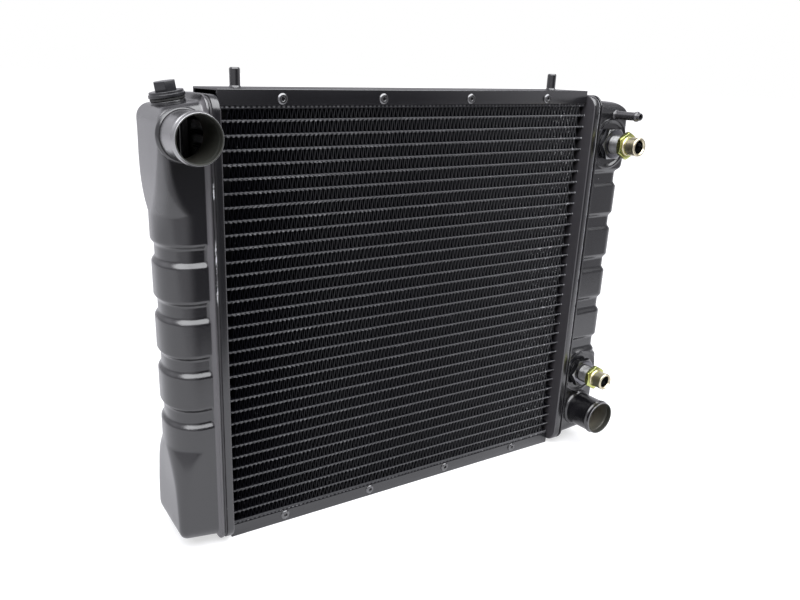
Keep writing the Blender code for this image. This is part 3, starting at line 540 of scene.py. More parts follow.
def satin_paint(name, colours, bare=None, dull=None, painted_sheen=None, dusty=1.0, ior=1.5, gloss=0.85, matt=0.19):
    """Sprayed satin paint: fine peel, dust and light scuffs.

    bare, dull and the sheen mask say where metal shows, where a dull film lies and where a paler painted sheen
    lies.
    """
    f = Finish(name)
    cloud = f.noise(14, 4)
    smear = f.noise(40, 5, 0.65, f.stretched((1, 1, 0.25)))
    peel = f.noise(700, 2)
    grit = f.specks(330, 0.20, 0.05)
    dust_and_sheen = f.specks(150, 0.09, 0.03) * dusty
    scuff = f.noise(55, 8, 0.75, f.stretched((1, 1, 5))).step(0.70, 0.78) * (0.35 * dusty)
    base = f.mix(cloud, tint(colours.paint, 0.82), tint(colours.paint, 1.22))
    base = f.mix((dust_and_sheen * 0.5 + scuff * 0.4).least(1.0), base, colours.dust_and_sheen)
    rough = matt + cloud * 0.05 + smear * 0.06 + scuff * 0.3 + dust_and_sheen * 0.2
    metal = 0.0
    # painted sheen: a paler tone where the mask says
    if painted_sheen:
        base = f.mix(painted_sheen(f), base, colours.dust_and_sheen)
    if dull:
        base = f.mix(dull(f) * (0.85 + smear * 0.3), base, colours.film)
    if bare:
        wear_and_highlight = bare(f)
        base = f.mix(wear_and_highlight, base, colours.solder)
        rough = rough * (1 - wear_and_highlight) + wear_and_highlight * 0.38
        metal = wear_and_highlight
    return f.set(Base_Color=base, Roughness=rough, Metallic=metal, IOR=ior, Specular_IOR_Level=gloss,
                 Normal=f.bump(peel * 0.5 + grit * 1.5 + dust_and_sheen * 0.6, 0.10, 0.0006))


def core_paint(name, colours, bright, left, gloss, beaded):
    """Thin core paint, pale at the edges as wear and painted highlight, with solder dots under the tubes."""
    f = Finish(name)
    x, y, z = f.axes()
    cloud = f.noise(30, 4)
    fine = f.noise(420, 3)
    deep, nose = abs(y), TUBE_HALF_DEPTH
    front = deep.step(nose - 0.6 * MM, nose - 0.2 * MM)
    slits = abs(y.fold(1.1 * MM) - 0.5).step(0.30, 0.42)
    # solder specks on the front edges, thickening towards the right as painted glints
    specks = f.specks(420, 0.32, 0.07) * (0.12 + x.step(0.05, 0.21)) * front
    base = f.mix(cloud, tint(colours.core, 0.7), tint(colours.core, 1.4))
    # painted highlight level: low at the left end of the core, rising towards the right where more light falls
    painted_highlight = (0.35 + fine * 0.5) * (left + x.step(-0.21, -0.09) * (0.55 - left) + x.step(-0.05, 0.22) * 0.45)
    over = (z - FIRST_TUBE).wrapped(TUBE_PITCH / 2)
    # painted highlight on the upper half of each tube's nose, over pale wear along the whole front edge
    if beaded:
        wear_and_highlight = front * (0.24 + over.step(-0.1 * MM, 0.4 * MM) * 0.76)
    else:
        # painted highlight on the fin legs that face up and to the left near the front, over pale wear on the
        # front edges
        side, _, rise = f.facing()
        lit = (0 - side).step(0.1, 0.4) * rise.step(0.04, 0.14)
        wear_and_highlight = front * 0.62 + deep.step(nose - 3.0 * MM, nose - 0.6 * MM) * lit * 0.5
    base = f.mix((wear_and_highlight * painted_highlight * bright).least(1.0), base, colours.dust_and_sheen)
    under = over.step(-1.7 * MM, -1.3 * MM) * (1 - over.step(-0.2 * MM, 0.2 * MM))
    under *= deep.step(nose - 1.5 * MM, nose - 0.7 * MM)
    if beaded:
        under *= (x + cloud * 0.006).fold(2.35 * MM).step(0.30, 0.70)
    dot = under * (0.45 + f.noise(60, 3).step(0.50, 0.68) * 0.45) * (1 - x.step(-0.16, 0.10) * 0.5)
    base = f.mix(dot * 0.9, base, colours.dust_and_sheen)
    # painted glints: pale solder ticks on the front edges near the core's right end
    solder_glints = f.noise(260, 3, 0.6).step(0.58, 0.64) * x.step(0.13, 0.20) * front
    base = f.mix(solder_glints * 0.6, base, colours.solder)
    base = f.mix(specks * 0.8, base, colours.solder)
    return f.set(Base_Color=base, Roughness=0.44 + cloud * 0.14 + fine * 0.10, Metallic=specks * 0.7,
                 Specular_IOR_Level=gloss, Normal=f.bump(fine * 0.6 + slits * 0.5, 0.25, 0.0004))


def solder_metal(name, colours):
    """Lumpy solder, mostly painted over, with bare patches; on the outlet side they also paint a highlight
    line.
    """
    f = Finish(name)
    x, _, z = f.axes()
    lumps = f.noise(160, 5, 0.6)
    patch = f.noise(400, 4, 0.7, f.stretched((1, 1, 0.5)))
    stretch = z.step(0.248, 0.262) * (1 - z.step(0.298, 0.312))
    stretch += z.step(0.343, 0.347) * (1 - z.step(0.354, 0.360))
    inlet = patch.step(0.47, 0.54) * stretch * (-PLATE_X - x).step(8.2 * MM, 8.6 * MM)
    # bare solder on the outlet seam and tube beads, which also stands in for the highlight line along that seam
    outlet = patch.step(0.36, 0.44) * z.step(0.10, 0.14) * (x > 0)
    bare = inlet + outlet * 0.3
    base = f.mix(bare, tint(colours.film, 0.6), tint(colours.solder, 1.5))
    return f.set(Base_Color=base, Roughness=0.42 - bare * 0.10 + lumps * 0.12, Metallic=bare * 0.3,
                 Normal=f.bump(lumps, 0.7, 0.0008))


def yellow_zinc(name, colours):
    """Yellow passivated zinc with pink and green films."""
    f = Finish(name)
    film = f.noise(95, 3, 0.55)
    drift = f.noise(38, 2)
    fine = f.noise(900, 2)
    turning = f.noise(60, 2, 0.5, f.stretched((1, 26, 1)))
    base = f.mix(film.step(0.30, 0.62), colours.zinc, (0.42, 0.46, 0.17))
    base = f.mix(drift.step(0.50, 0.72) * 0.7, base, (0.56, 0.45, 0.32))
    base = f.mix(film.step(0.62, 0.75) * 0.6, base, (0.50, 0.51, 0.34))
    return f.set(Base_Color=base, Metallic=1.0, Roughness=0.17 + film * 0.10 + fine * 0.07,
                 Normal=f.bump(turning + fine * 0.3, 0.06, 0.0004))


def machined_metal(name, colour, rough, patina, spread):
    """Turned or drawn metal with a patchy skin."""
    f = Finish(name)
    cloud = f.noise(70, 4, 0.6)
    fine = f.noise(1100, 2)
    lines = f.noise(80, 2, 0.5, f.stretched((1, 30, 1)))
    spots = f.specks(400, 0.25, 0.06)
    base = f.mix((cloud.step(0.35, 0.75) * spread + spots * 0.4).least(1.0), colour, patina)
    return f.set(Base_Color=base, Metallic=1.0, Roughness=rough + cloud * 0.12 + fine * 0.06,
                 Normal=f.bump(lines + spots, 0.10, 0.0003))


def dull_metal(name, colour, stain, spray_and_painted_fill_end):
    """Unpainted drawn metal, dull and stained, dark with spray near the mouths and paler deeper in as painted
    light.
    """
    f = Finish(name)
    y = f.axes()[1]
    cloud = f.noise(60, 4, 0.6)
    fine = f.noise(900, 2)
    base = f.mix(cloud.step(0.35, 0.7), colour, stain)
    # painted light: dark spray at the mouth, the metal turning paler with depth against the shade that falls
    # inside
    base = f.mix((y + cloud * 0.01).step(-0.072, spray_and_painted_fill_end), (0.034, 0.035, 0.030), base)
    return f.set(Base_Color=base, Metallic=0.2, Roughness=0.36 + cloud * 0.16,
                 Normal=f.bump(fine, 0.12, 0.0003))


def moulded_plastic(name, colours):
    """Matt moulded plastic with a fine grain and pale rubbed places."""
    f = Finish(name)
    grain = f.noise(1500, 3, 0.6)
    cloud = f.noise(90, 4)
    rubbed = f.specks(380, 0.22, 0.08)
    base = f.mix(cloud, tint(colours.plastic, 0.8), tint(colours.plastic, 1.3))
    base = f.mix(rubbed * 0.25, base, colours.dust_and_sheen)
    return f.set(Base_Color=base, Roughness=0.24 + cloud * 0.10, Normal=f.bump(grain + rubbed, 0.10, 0.0003))


def seal_rubber(name, colours):
    """Matt rubber with bloom."""
    f = Finish(name)
    bloom = f.noise(240, 4, 0.6)
    base = f.mix(bloom.step(0.45, 0.8), colours.rubber, tint(colours.rubber, 3.0))
    return f.set(Base_Color=base, Roughness=0.62 + bloom * 0.15, Normal=f.bump(bloom, 0.12, 0.0004))


def pan_face(f):
    """A header plate's inner face, which the spray hardly reached."""
    x = f.axes()[0]
    return (1 - (abs(x) - PLATE_X).step(0.4 * MM, 1.1 * MM)) * 0.75


def tank_foot(f):
    """The inlet tank's foot, where it meets the header plate."""
    x, y, _ = f.axes()
    out = -PLATE_X - x
    return out.step(11.0 * MM, 11.6 * MM) * (1 - out.step(15.0 * MM, 16.4 * MM)) * (abs(y) > 30 * MM)


def tank_end_sheen(f):
    """Painted sheen on the upper end of the inlet tank: a paler, mottled tone there."""
    x, _, z = f.axes()
    return (-PLATE_X - x).step(44 * MM, 52 * MM) * z.step(0.31, 0.35) * (0.16 + f.noise(30, 4) * 0.16)


def pipe_rim(f):
    """Bare metal on the rolled end of a hose pipe."""
    y = f.axes()[1]
    ragged = (f.noise(300, 3) - 0.5) * (0.9 * MM)
    return (ragged - 75.6 * MM - y).step(0.0, 0.6 * MM) * 0.28


FINISHES = {}


def finishes():
    """The finishes, made once."""
    colours = bpy.context.scene.radiator_finish
    steel, dark, brass = colours.steel, colours.dark_steel, colours.brass
    if not FINISHES:
        FINISHES.update(
            paint=satin_paint("satin_black", colours),
            web=satin_paint("matt_black", colours, gloss=0.25, matt=0.34),
            # the inlet tank takes a painted sheen on its upper end
            tank=satin_paint("tank_black", colours, dull=tank_foot, painted_sheen=tank_end_sheen),
            pan=satin_paint("pan_black", colours, dull=pan_face),
            inlet_pipe=satin_paint("inlet_pipe_black", colours, bare=pipe_rim, dusty=0.3, ior=2.5),
            outlet_pipe=satin_paint("outlet_pipe_black", colours, bare=pipe_rim, dusty=0.6),
            # painted sheen: a paler film all over the vent spigot
            spigot=satin_paint("spigot_black_painted_sheen", colours, dull=lambda f: 0.42),
            # linings that turn paler deeper in, painted light against the shade inside
            inside=dull_metal("stained_brass_painted_fill", (0.52, 0.48, 0.38), (0.34, 0.31, 0.25), -0.030),
            inlet_bore=dull_metal("sprayed_brass_painted_fill", (0.30, 0.29, 0.24), (0.20, 0.19, 0.16), 0.030),
            thread=machined_metal("stud_thread", tint(steel, 0.27), 0.26, tint(steel, 0.08), 0.9),
            silver=machined_metal("silver_zinc", (0.53, 0.49, 0.36), 0.24, (0.50, 0.42, 0.33), 0.8),
            fin=core_paint("fin_black", colours, bright=0.47, left=0.06, gloss=0.03, beaded=False),
            tube=core_paint("tube_black", colours, bright=0.64, left=0.55, gloss=0.10, beaded=True),
            solder=solder_metal("painted_solder", colours),
            zinc=yellow_zinc("yellow_zinc", colours),
            nut=machined_metal("dark_steel", tint(dark, 1.5), 0.15, tint(dark, 3.0), 0.4),
            # paler steel for the nuts' edge bevels: wear and painted highlight
            nut_edge=machined_metal("worn_and_highlit_edge", tint(steel, 0.5), 0.2, tint(steel, 0.2), 0.6),
            steel=machined_metal("bright_steel", steel, 0.20, tint(steel, 0.5), 0.5),
            rivet=machined_metal("rivet_steel", tint(steel, 0.26), 0.18, tint(dark, 2.2), 0.5),
            brass=machined_metal("cooler_brass", brass, 0.24, tint(brass, 0.5), 0.6),
            plastic=moulded_plastic("plug_plastic", colours),
            rubber=seal_rubber("seal_rubber", colours),
        )
    return FINISHES


# Pieces


class RADIATOR_OT_core(bpy.types.Operator):
    """Flat tubes and folded fins, one piece for each pair of tubes"""

    bl_idname = "radiator.core"
    bl_label = "Core"

    def execute(self, context):
        sizes = context.scene.radiator_sizes
        tube = self.tube()
        fin = self.fin(sizes)
        lap = sizes.fin_lap
        for index in range(TUBES // 2):
            node = f"tube_pair_{index + 1:02d}"
            low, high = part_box(node)
            tubes = [copied(tube, Matrix.Translation((0, 0, low.z + step))) for step in (0.0, TUBE_PITCH)]
            upper = low.z + TUBE_PITCH + TUBE_HEIGHT
            rows = [self.row(fin, index * 2, low.z + TUBE_HEIGHT - lap, FIN_GAP + 2 * lap),
                    self.row(fin, index * 2 + 1, upper - lap, high.z - upper + 2 * lap)]
            done(joined(f"core_{node}", *tubes, *rows), None, nodes=[node], angle=40)
        low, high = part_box("bottom_fin_row")
        row = self.row(fin, 40, low.z, high.z - low.z)
        done(joined("core_bottom_fins", row), None, nodes=["bottom_fin_row"], angle=40)
        removed(tube, fin)
        for node in ("top_core_plate", "bottom_core_plate"):
            repainted(node, finishes()["tube"])
        return {"FINISHED"}

    def tube(self):
        """A flat tube that stands on height 0, hollow at both ends."""
        piece = block("tube", (-TUBE_HALF_LENGTH, -TUBE_HALF_DEPTH, 0),
                      (TUBE_HALF_LENGTH, TUBE_HALF_DEPTH, TUBE_HEIGHT))
        with Edit(piece) as edit:
            edit.pick("EDGE", along(0))
            bevel(1.12 * MM, 4)
            for sign in (-1, 1):
                edit.pick("FACE", facing(0, sign))
                bpy.ops.mesh.inset(thickness=0.45 * MM, depth=0)
                edit.extrude(-sign * 12 * MM, 0, 0)
        return painted(piece, finishes()["tube"])

    def fin(self, sizes):
        """A strip folded up and down along X, one gap high."""
        folds = 2 * round(FIN_LENGTH / sizes.fin_pitch)
        half = FIN_LENGTH / folds
        path = []
        for fold in range(folds + 1):
            stray = noise.noise((fold * 0.71, 0.3, 0)) * 1.6 + noise.noise((fold * 0.043, 7, 0)) * 2
            x = fold * half - FIN_LENGTH / 2 + stray * sizes.fin_wander
            height = fold % 2
            inward = 1 - 2 * height
            for step, drop in ((-0.62, 0.15), (-0.38, 0.035), (0, 0), (0.38, 0.035), (0.62, 0.15)):
                path.append((x + step * MM, height + inward * drop))
        piece = added("fin", "grid", x_subdivisions=len(path) - 1, y_subdivisions=1, size=1)
        depth = 2 * (TUBE_HALF_DEPTH - sizes.fin_setback)
        with Edit(piece) as edit:
            def fold_at(place):
                x, height = path[round((place.x + 0.5) * (len(path) - 1))]
                return Vector((x, place.y * depth, height * FIN_GAP))
            edit.place(fold_at)
        return painted(modified(piece, "SOLIDIFY", thickness=sizes.fin_sheet, offset=0), finishes()["fin"])

    def row(self, fin, number, foot, height):
        """A copy of the fin strip, shifted along its tube by its own amount."""
        shift = noise.noise((number * 1.7, 2.2, 5.1)) * 3.2 * MM
        scale = Matrix.Diagonal((1 if number % 2 else -1, 1, height / FIN_GAP, 1))
        piece = copied(fin, Matrix.Translation((shift, 0, foot)) @ scale)
        if number % 2 == 0:
            with Edit(piece) as edit:
                edit.whole()
                bpy.ops.mesh.flip_normals()
        return piece


class RADIATOR_OT_headers(bpy.types.Operator):
    """Header plates with their folded rims"""

    bl_idname = "radiator.headers"
    bl_label = "Headers"

    def execute(self, context):
        for node, side in (("inlet_header", -1), ("outlet_header", 1)):
            low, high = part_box(node)
            piece = block(f"{node}_pan", low, high)
            with Edit(piece) as edit:
                edit.pick("EDGE", along(0))
                bevel(15 * MM, 10)
                edit.pick("FACE", facing(0, -side))
                bpy.ops.mesh.region_to_loop()
                bevel(1.6 * MM, 4)
                edit.pick("FACE", facing(0, side))
                bpy.ops.mesh.inset(thickness=1.5 * MM, depth=0)
                edit.extrude(-side * 6 * MM, 0, 0)
            done(eased(piece, 0.3), finishes()["pan"], nodes=[node])
        return {"FINISHED"}


class TankForm:
    """The pressing of one tank, lengths in metres and heights from the tank's middle."""

    box_corner = 6 * MM

    def __init__(self, name, side, slope, end_round, taper, reach, rib_reach, rib_corner, lower, upper, run,
                 ease, grooves, pads, holes):
        self.name, self.side = name, side
        self.slope = math.tan(math.radians(slope))          # fall of the top towards the end
        self.end_round = [size * MM for size in end_round]  # in depth, and outwards
        self.taper = taper                                  # of the ends' backs, plain and grooved
        self.reach, self.rib_reach = reach * MM, rib_reach * MM
        self.rib_corner = [size * MM for size in rib_corner]    # outwards, and in depth
        self.lower, self.upper = lower * MM, upper * MM     # creases where the grooved part ends
        self.run, self.ease = run * MM, ease * MM           # length of the ramps, and of their corners
        self.grooves = [groove * MM for groove in grooves]
        self.pads, self.holes = pads, holes     # (x, z) of raised pads, and (x, z, radius), in millimetres

    def past_crease(self, height):
        return max(height - self.upper, self.lower - height, 0.0)

    def share_at(self, height):
        """1 in the grooved part, fading to 0 up the ramps."""
        return math.exp(-self.past_crease(height) / self.ease)

    def reach_at(self, height):
        draft = 1.8 * MM * smooth((height - 140 * MM) / (50 * MM))
        ramp = smooth(self.past_crease(height) / self.run)
        return self.rib_reach + (self.reach - self.rib_reach) * ramp - draft

    def corner_at(self, height):
        share = self.share_at(height)
        return [self.box_corner + (size - self.box_corner) * share for size in self.rib_corner]

    def taper_at(self, height):
        return (self.taper[0] + (self.taper[1] - self.taper[0]) * self.share_at(height)) * MM

    def groove_at(self, height, sizes):
        wall = (sizes.groove_width - sizes.groove_floor) / 2
        near = min(abs(height - groove) for groove in self.grooves)
        return smooth((sizes.groove_width / 2 - near) / wall) * sizes.groove_depth


class RADIATOR_OT_tanks(bpy.types.Operator):
    """End tanks: pressed shells with grooves, ramps and round ends, soldered into the headers"""

    bl_idname = "radiator.tanks"
    bl_label = "Tanks"

    half_depth = 38 * MM
    half_height = 207.45 * MM
    foot = 12.4 * MM           # where the skin leaves the flange
    flare_out = 15.9 * MM      # where its flare to the flange ends
    flare = 3.0 * MM
    groove_start = 13.6 * MM   # how far out the grooves begin
    groove_run = 4.6 * MM      # and come to their full depth
    slope_foot = 11.4 * MM     # how far out the ends begin to slope
    slope_start = 150 * MM     # height from the middle where the slope begins
    slope_run = 50 * MM        # and comes to its full angle
    columns = (34, 12, 14, 12, 18)     # points of a section along front, corner, end, corner and back

    def execute(self, context):
        pipe_hole, spigot_hole, union_hole = 19.8, 3.4, 10.2
        inlet = TankForm("inlet", -1, slope=7.5, end_round=(13, 9), taper=(2.0, 4.5), reach=53.6,
                         rib_reach=54.9, rib_corner=(30, 36), lower=-108, upper=113.6, run=45, ease=25,
                         grooves=(78.9, 27.7, -23.5, -74.7), pads=[], holes=[(*INLET_PIPE, pipe_hole)])
        outlet = TankForm("outlet", 1, slope=4, end_round=(13, 21), taper=(4.5, 4.5), reach=63,
                          rib_reach=61.5, rib_corner=(12, 12), lower=-97.5, upper=129, run=5, ease=3,
                          grooves=(120.9, 69.7, 18.5, -32.7, -83.9), pads=list(UNIONS.values()),
                          holes=[(*OUTLET_PIPE, pipe_hole), (*SPIGOT, spigot_hole)])
        outlet.holes += [(*pad, union_hole) for pad in outlet.pads]
        for form in (inlet, outlet):
            skin = self.skin(form, context.scene.radiator_sizes)
            flange = self.ring(f"{form.name}_flange", form.side, start=10.3, end=12.5, half_depth=41,
                               bottom=4.5, corner=15, width=5)
            shell = joined(f"{form.name}_tank_shell", skin, painted(eased(flange, 0.45), finishes()["tank"]))
            done(shell, None, nodes=[f"{form.name}_tank"], angle=40)
            seam = self.ring(f"{form.name}_solder_seam", form.side, start=7.6, end=9.5, half_depth=39.7,
                             bottom=5.8, corner=13.7, width=4)
            self.lumpy(seam)
            done(seam, finishes()["solder"], angle=60)
        return {"FINISHED"}

    def levels(self, form):
        """Heights of the skin's rows, close together where the shape turns."""
        limit = (self.half_height - form.end_round[0]) / MM
        rows = {round(step * 4.0 - limit, 2) for step in range(98)} | {limit}
        for groove in form.grooves:
            rows |= {round(groove / MM + step * 0.9, 2) for step in range(-13, 14)}
        for crease, way in ((form.upper, 1), (form.lower, -1)):
            step = form.run / MM / 26
            rows |= {round(crease / MM + way * (index * step + 0.01), 2) for index in range(-3, 34)}
        for _, z in form.pads:
            rows |= {round(z - MIDDLE / MM + step * 1.2, 2) for step in range(-24, 25)}
        for _, z, _ in form.holes:
            rows |= {round(z - MIDDLE / MM + step * 1.5, 2) for step in range(-15, 16)}
        kept = []
        for row in sorted(row for row in rows if abs(row) <= limit):
            if not kept or row - kept[-1] > 0.45:
                kept.append(row)
        return [row * MM for row in kept]

    def rows(self, form):
        """(height, inset, tilt) of each row from the middle of the bottom to the middle of the top."""
        radius = form.end_round[0]
        ends = [(self.half_height, radius + (self.half_depth - radius) * (1 - step / 9), math.pi / 2)
                for step in range(9)]
        for step in range(10):
            tilt = math.pi / 2 * (1 - step / 10)
            height = self.half_height - radius * (1 - math.sin(tilt))
            ends.append((height, radius * (1 - math.cos(tilt)), tilt))
        bottom = [(-height, inset, -tilt) for height, inset, tilt in ends]
        return bottom + [(height, 0.0, 0.0) for height in self.levels(form)] + ends[::-1]

    def outline(self, form, height, inset, pressed=0.0):
        """Points (out, y) of a section, from the foot in front round the end to the foot behind."""
        deep = max(self.half_depth - inset - pressed, 0.0)
        drawn, beyond = min(inset / form.end_round[0], 1.0), max(inset - form.end_round[0], 0.0)
        reach = form.reach_at(height) - drawn * form.end_round[1] - beyond * 0.7 - pressed
        corner, sweep = (min(max(size - inset - pressed, 0.15 * deep), 0.97 * deep)
                         for size in form.corner_at(height))
        front, arc, end, arc_back, back = self.columns

        def from_foot(share):
            """Along a flat side, closer together near the foot."""
            return self.foot + (reach - corner - self.foot) * (0.62 * share + 0.38 * share * share)
        points = [(from_foot(index / front), -deep) for index in range(front)]
        for index in range(arc):
            turn = math.pi / 2 * index / arc
            points.append((reach - corner + corner * math.sin(turn), -deep + sweep * (1 - math.cos(turn))))
        for index in range(end):
            points.append((reach, -deep + sweep + (2 * deep - 2 * sweep) * index / end))
        for index in range(arc_back):
            turn = math.pi / 2 * index / arc_back
            points.append((reach - corner + corner * math.cos(turn), deep - sweep * (1 - math.sin(turn))))
        points += [(from_foot(1 - index / back), deep) for index in range(back + 1)]
        leaned = []
        for out, y in points:
            lean = form.taper_at(height) * (y + deep) / (2 * self.half_depth)
            leaned.append((out - lean * (out - self.foot) / (reach - self.foot), y))
        return leaned

    def skin(self, form, sizes):
        """The pressed sheet of one tank, with its holes."""
        rows = self.rows(form)
        count = sum(self.columns) + 1
        places = []
        for height, inset, tilt in rows:
            plain = self.outline(form, height, inset)
            depth = form.groove_at(height, sizes)
            pressed = self.outline(form, height, inset, depth) if depth else plain
            fall = form.slope * smooth((abs(height) - self.slope_start) / self.slope_run)
            slope = math.copysign(fall, height)
            line = []
            for (out, y), (out_in, y_in) in zip(plain, pressed):
                fade = smooth((out - self.groove_start) / self.groove_run)
                out, y = out + (out_in - out) * fade, y + (y_in - y) * fade
                z = height - slope * (out - self.slope_foot)
                flare = self.flare * max((self.flare_out - out) / (self.flare_out - self.foot), 0.0) ** 2
                y += math.copysign(flare * math.cos(tilt), y)
                z += flare * math.sin(tilt) * 1.7
                x, z = form.side * (PLATE_X + out), z + MIDDLE
                if y < 0 and inset == 0:
                    y += self.pressed_pad(form, x, z)
                line.append(Vector((x, y, z)))
            places.append(line)
        across, up = count - 1, len(rows) - 1
        piece = added(f"{form.name}_skin", "grid", x_subdivisions=across, y_subdivisions=up, size=1)
        with Edit(piece) as edit:
            edit.place(lambda at: places[round((at.y + 0.5) * up)][round((at.x + 0.5) * across)])
            edit.weld(2e-5)

            def holed(face):
                middle = face.calc_center_median()
                pierced = middle.y < FRONT + 6 * MM and any(
                    math.hypot(middle.x - x * MM, middle.z - z * MM) < radius * MM
                    for x, z, radius in form.holes)
                return pierced or (middle - FILLER).length < 9.5 * MM
            edit.pick("FACE", holed)
            bpy.ops.mesh.delete(type="FACE")
            edit.outward()
            mesh = bmesh.from_edit_mesh(piece.data)
            ends = [face for face in mesh.faces if abs(face.calc_center_median().z - MIDDLE) < 0.15]
            if sum(face.normal.x * face.calc_area() for face in ends) * form.side < 0:
                bpy.ops.mesh.flip_normals()
        for name in ("tank", "inside"):
            piece.data.materials.append(finishes()[name])
        return modified(piece, "SOLIDIFY", thickness=sizes.tank_wall, offset=-1, material_offset=1)

    def pressed_pad(self, form, x, z):
        """How far a pad, or the groove round it, moves the front at a place."""
        move = 0.0
        for pad_x, pad_z in form.pads:
            far = math.hypot(x - pad_x * MM, z - pad_z * MM) / MM
            if far < 32:
                move += (1.1 * smooth((24.6 - far) / 1.8) - math.exp(-((far - 26.4) / 1.5) ** 2)) * MM
        return move

    def ring(self, name, side, start, end, half_depth, bottom, corner, width):
        """A flat ring round the tank's foot, between two distances out. Sizes in millimetres."""
        x = sorted((side * (PLATE_X + start * MM), side * (PLATE_X + end * MM)))
        top = 2 * MIDDLE - bottom * MM
        piece = block(name, (x[0], -half_depth * MM, bottom * MM), (x[1], half_depth * MM, top))
        with Edit(piece) as edit:
            edit.pick("EDGE", along(0))
            bevel(corner * MM, 10)
            edit.pick("FACE", lambda face: abs(face.normal.x) > 0.99)
            bpy.ops.mesh.inset(thickness=width * MM, depth=0, use_individual=True)
            bpy.ops.mesh.delete(type="FACE")
            edit.pick("EDGE", lambda line: line.is_boundary)
            bpy.ops.mesh.bridge_edge_loops()
            edit.outward()
        return piece

    def lumpy(self, piece):
        """Divides the long sides of a seam and lets its surface rise and fall."""
        with Edit(piece) as edit:
            edit.pick("EDGE", lambda line: line.calc_length() > 0.1)
            bpy.ops.mesh.subdivide(number_cuts=150)
            edit.pick("EDGE", lambda line: 0.02 < line.calc_length() < 0.1)
            bpy.ops.mesh.subdivide(number_cuts=24)

            def lump(place):
                swell = noise.noise(place * 160) * 0.7 + noise.noise(place * 420) * 0.35
                return place + Vector((0, math.copysign(swell * MM, place.y), 0)) * (abs(place.y) > 0.036)
            edit.place(lump)


class RADIATOR_OT_channels(bpy.types.Operator):
    """Folded mounting channels over and under the core"""

    bl_idname = "radiator.channels"
    bl_label = "Channels"

    def execute(self, context):
        fold, flange = context.scene.radiator_sizes.fold, context.scene.radiator_sizes.flange
        for node, sign in (("top_channel", 1), ("bottom_channel", -1)):
            low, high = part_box(node)
            web = high.z if sign > 0 else low.z
            edge = web - sign * flange
            piece = block(f"{node}_folded", (low.x, low.y, min(web, edge)), (high.x, high.y, max(web, edge)))
            with Edit(piece) as edit:
                edit.pick("EDGE", lambda line: along(0)(line) and abs(line.verts[0].co.z - web) < 1e-5)
                bevel(fold, 5)
                edit.pick("FACE", lambda face: abs(face.normal.x) > 0.9 or face.normal.z * sign < -0.9)
                bpy.ops.mesh.delete(type="ONLY_FACE")
            modified(piece, "SOLIDIFY", thickness=1.5 * MM, offset=-1)
            painted(eased(piece, 0.3), finishes()["paint"])
            painted(piece, finishes()["web"], lambda face: face.normal.z * sign > 0.9)
            done(piece, None, nodes=[node])
        return {"FINISHED"}


class RADIATOR_OT_rivets(bpy.types.Operator):
    """Blind rivets with domed heads and open middles"""

    bl_idname = "radiator.rivets"
    bl_label = "Rivets"

    def execute(self, context):
        profile = rounded([(1.75, -2.4, 0), (2.5, -2.4, 0), (2.5, 0, 0), (5.0, 0, 0), (5.0, 0.7, 0.5),
                           (3.6, 1.85, 1.2), (1.75, 1.55, 0.5)])
        floor = rounded([(0, -1.2, 0), (1.8, -1.2, 0), (1.8, -1.9, 0), (0, -1.9, 0)], closed=False)
        head = turned("rivet", profile, Matrix(), 28)
        pin = turned("pin", floor, Matrix(), 16, closed=False)
        head = joined("rivet", head, pin)
        for row in ("top", "bottom"):
            for index in range(4):
                node = f"{row}_rivet_{index + 1}"
                middle = middle_of(node)
                place = Matrix.Translation((middle.x, CHANNEL_FRONT, middle.z)) @ DOWN_FRONT
                piece = done(copied(head, place), finishes()["rivet"], nodes=[node])
                piece.name = f"{node}_head"
        removed(head)
        return {"FINISHED"}


class RADIATOR_OT_pegs(bpy.types.Operator):
    """Locating pegs welded to the top channel"""

    bl_idname = "radiator.pegs"
    bl_label = "Pegs"

    def execute(self, context):
        for node in ("peg_left", "peg_right"):
            top = (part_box(node)[1].z - CHANNEL_TOP) / MM
            profile = rounded([(0, -4, 0), (3.0, -4, 0), (3.0, -1.6, 0), (3.0, 0, 0), (6.4, 0, 0),
                               (5.6, 0.7, 0.6), (4.75, 1.7, 0.8), (4.75, top - 1.2, 0.5), (3.9, top, 0.5),
                               (0, top, 0)], closed=False)
            place = Matrix.Translation((*middle_of(node).xy, CHANNEL_TOP))
            peg = turned(f"{node}_pin", profile, place, 40, closed=False)
            done(peg, finishes()["paint"], nodes=[node])
        return {"FINISHED"}


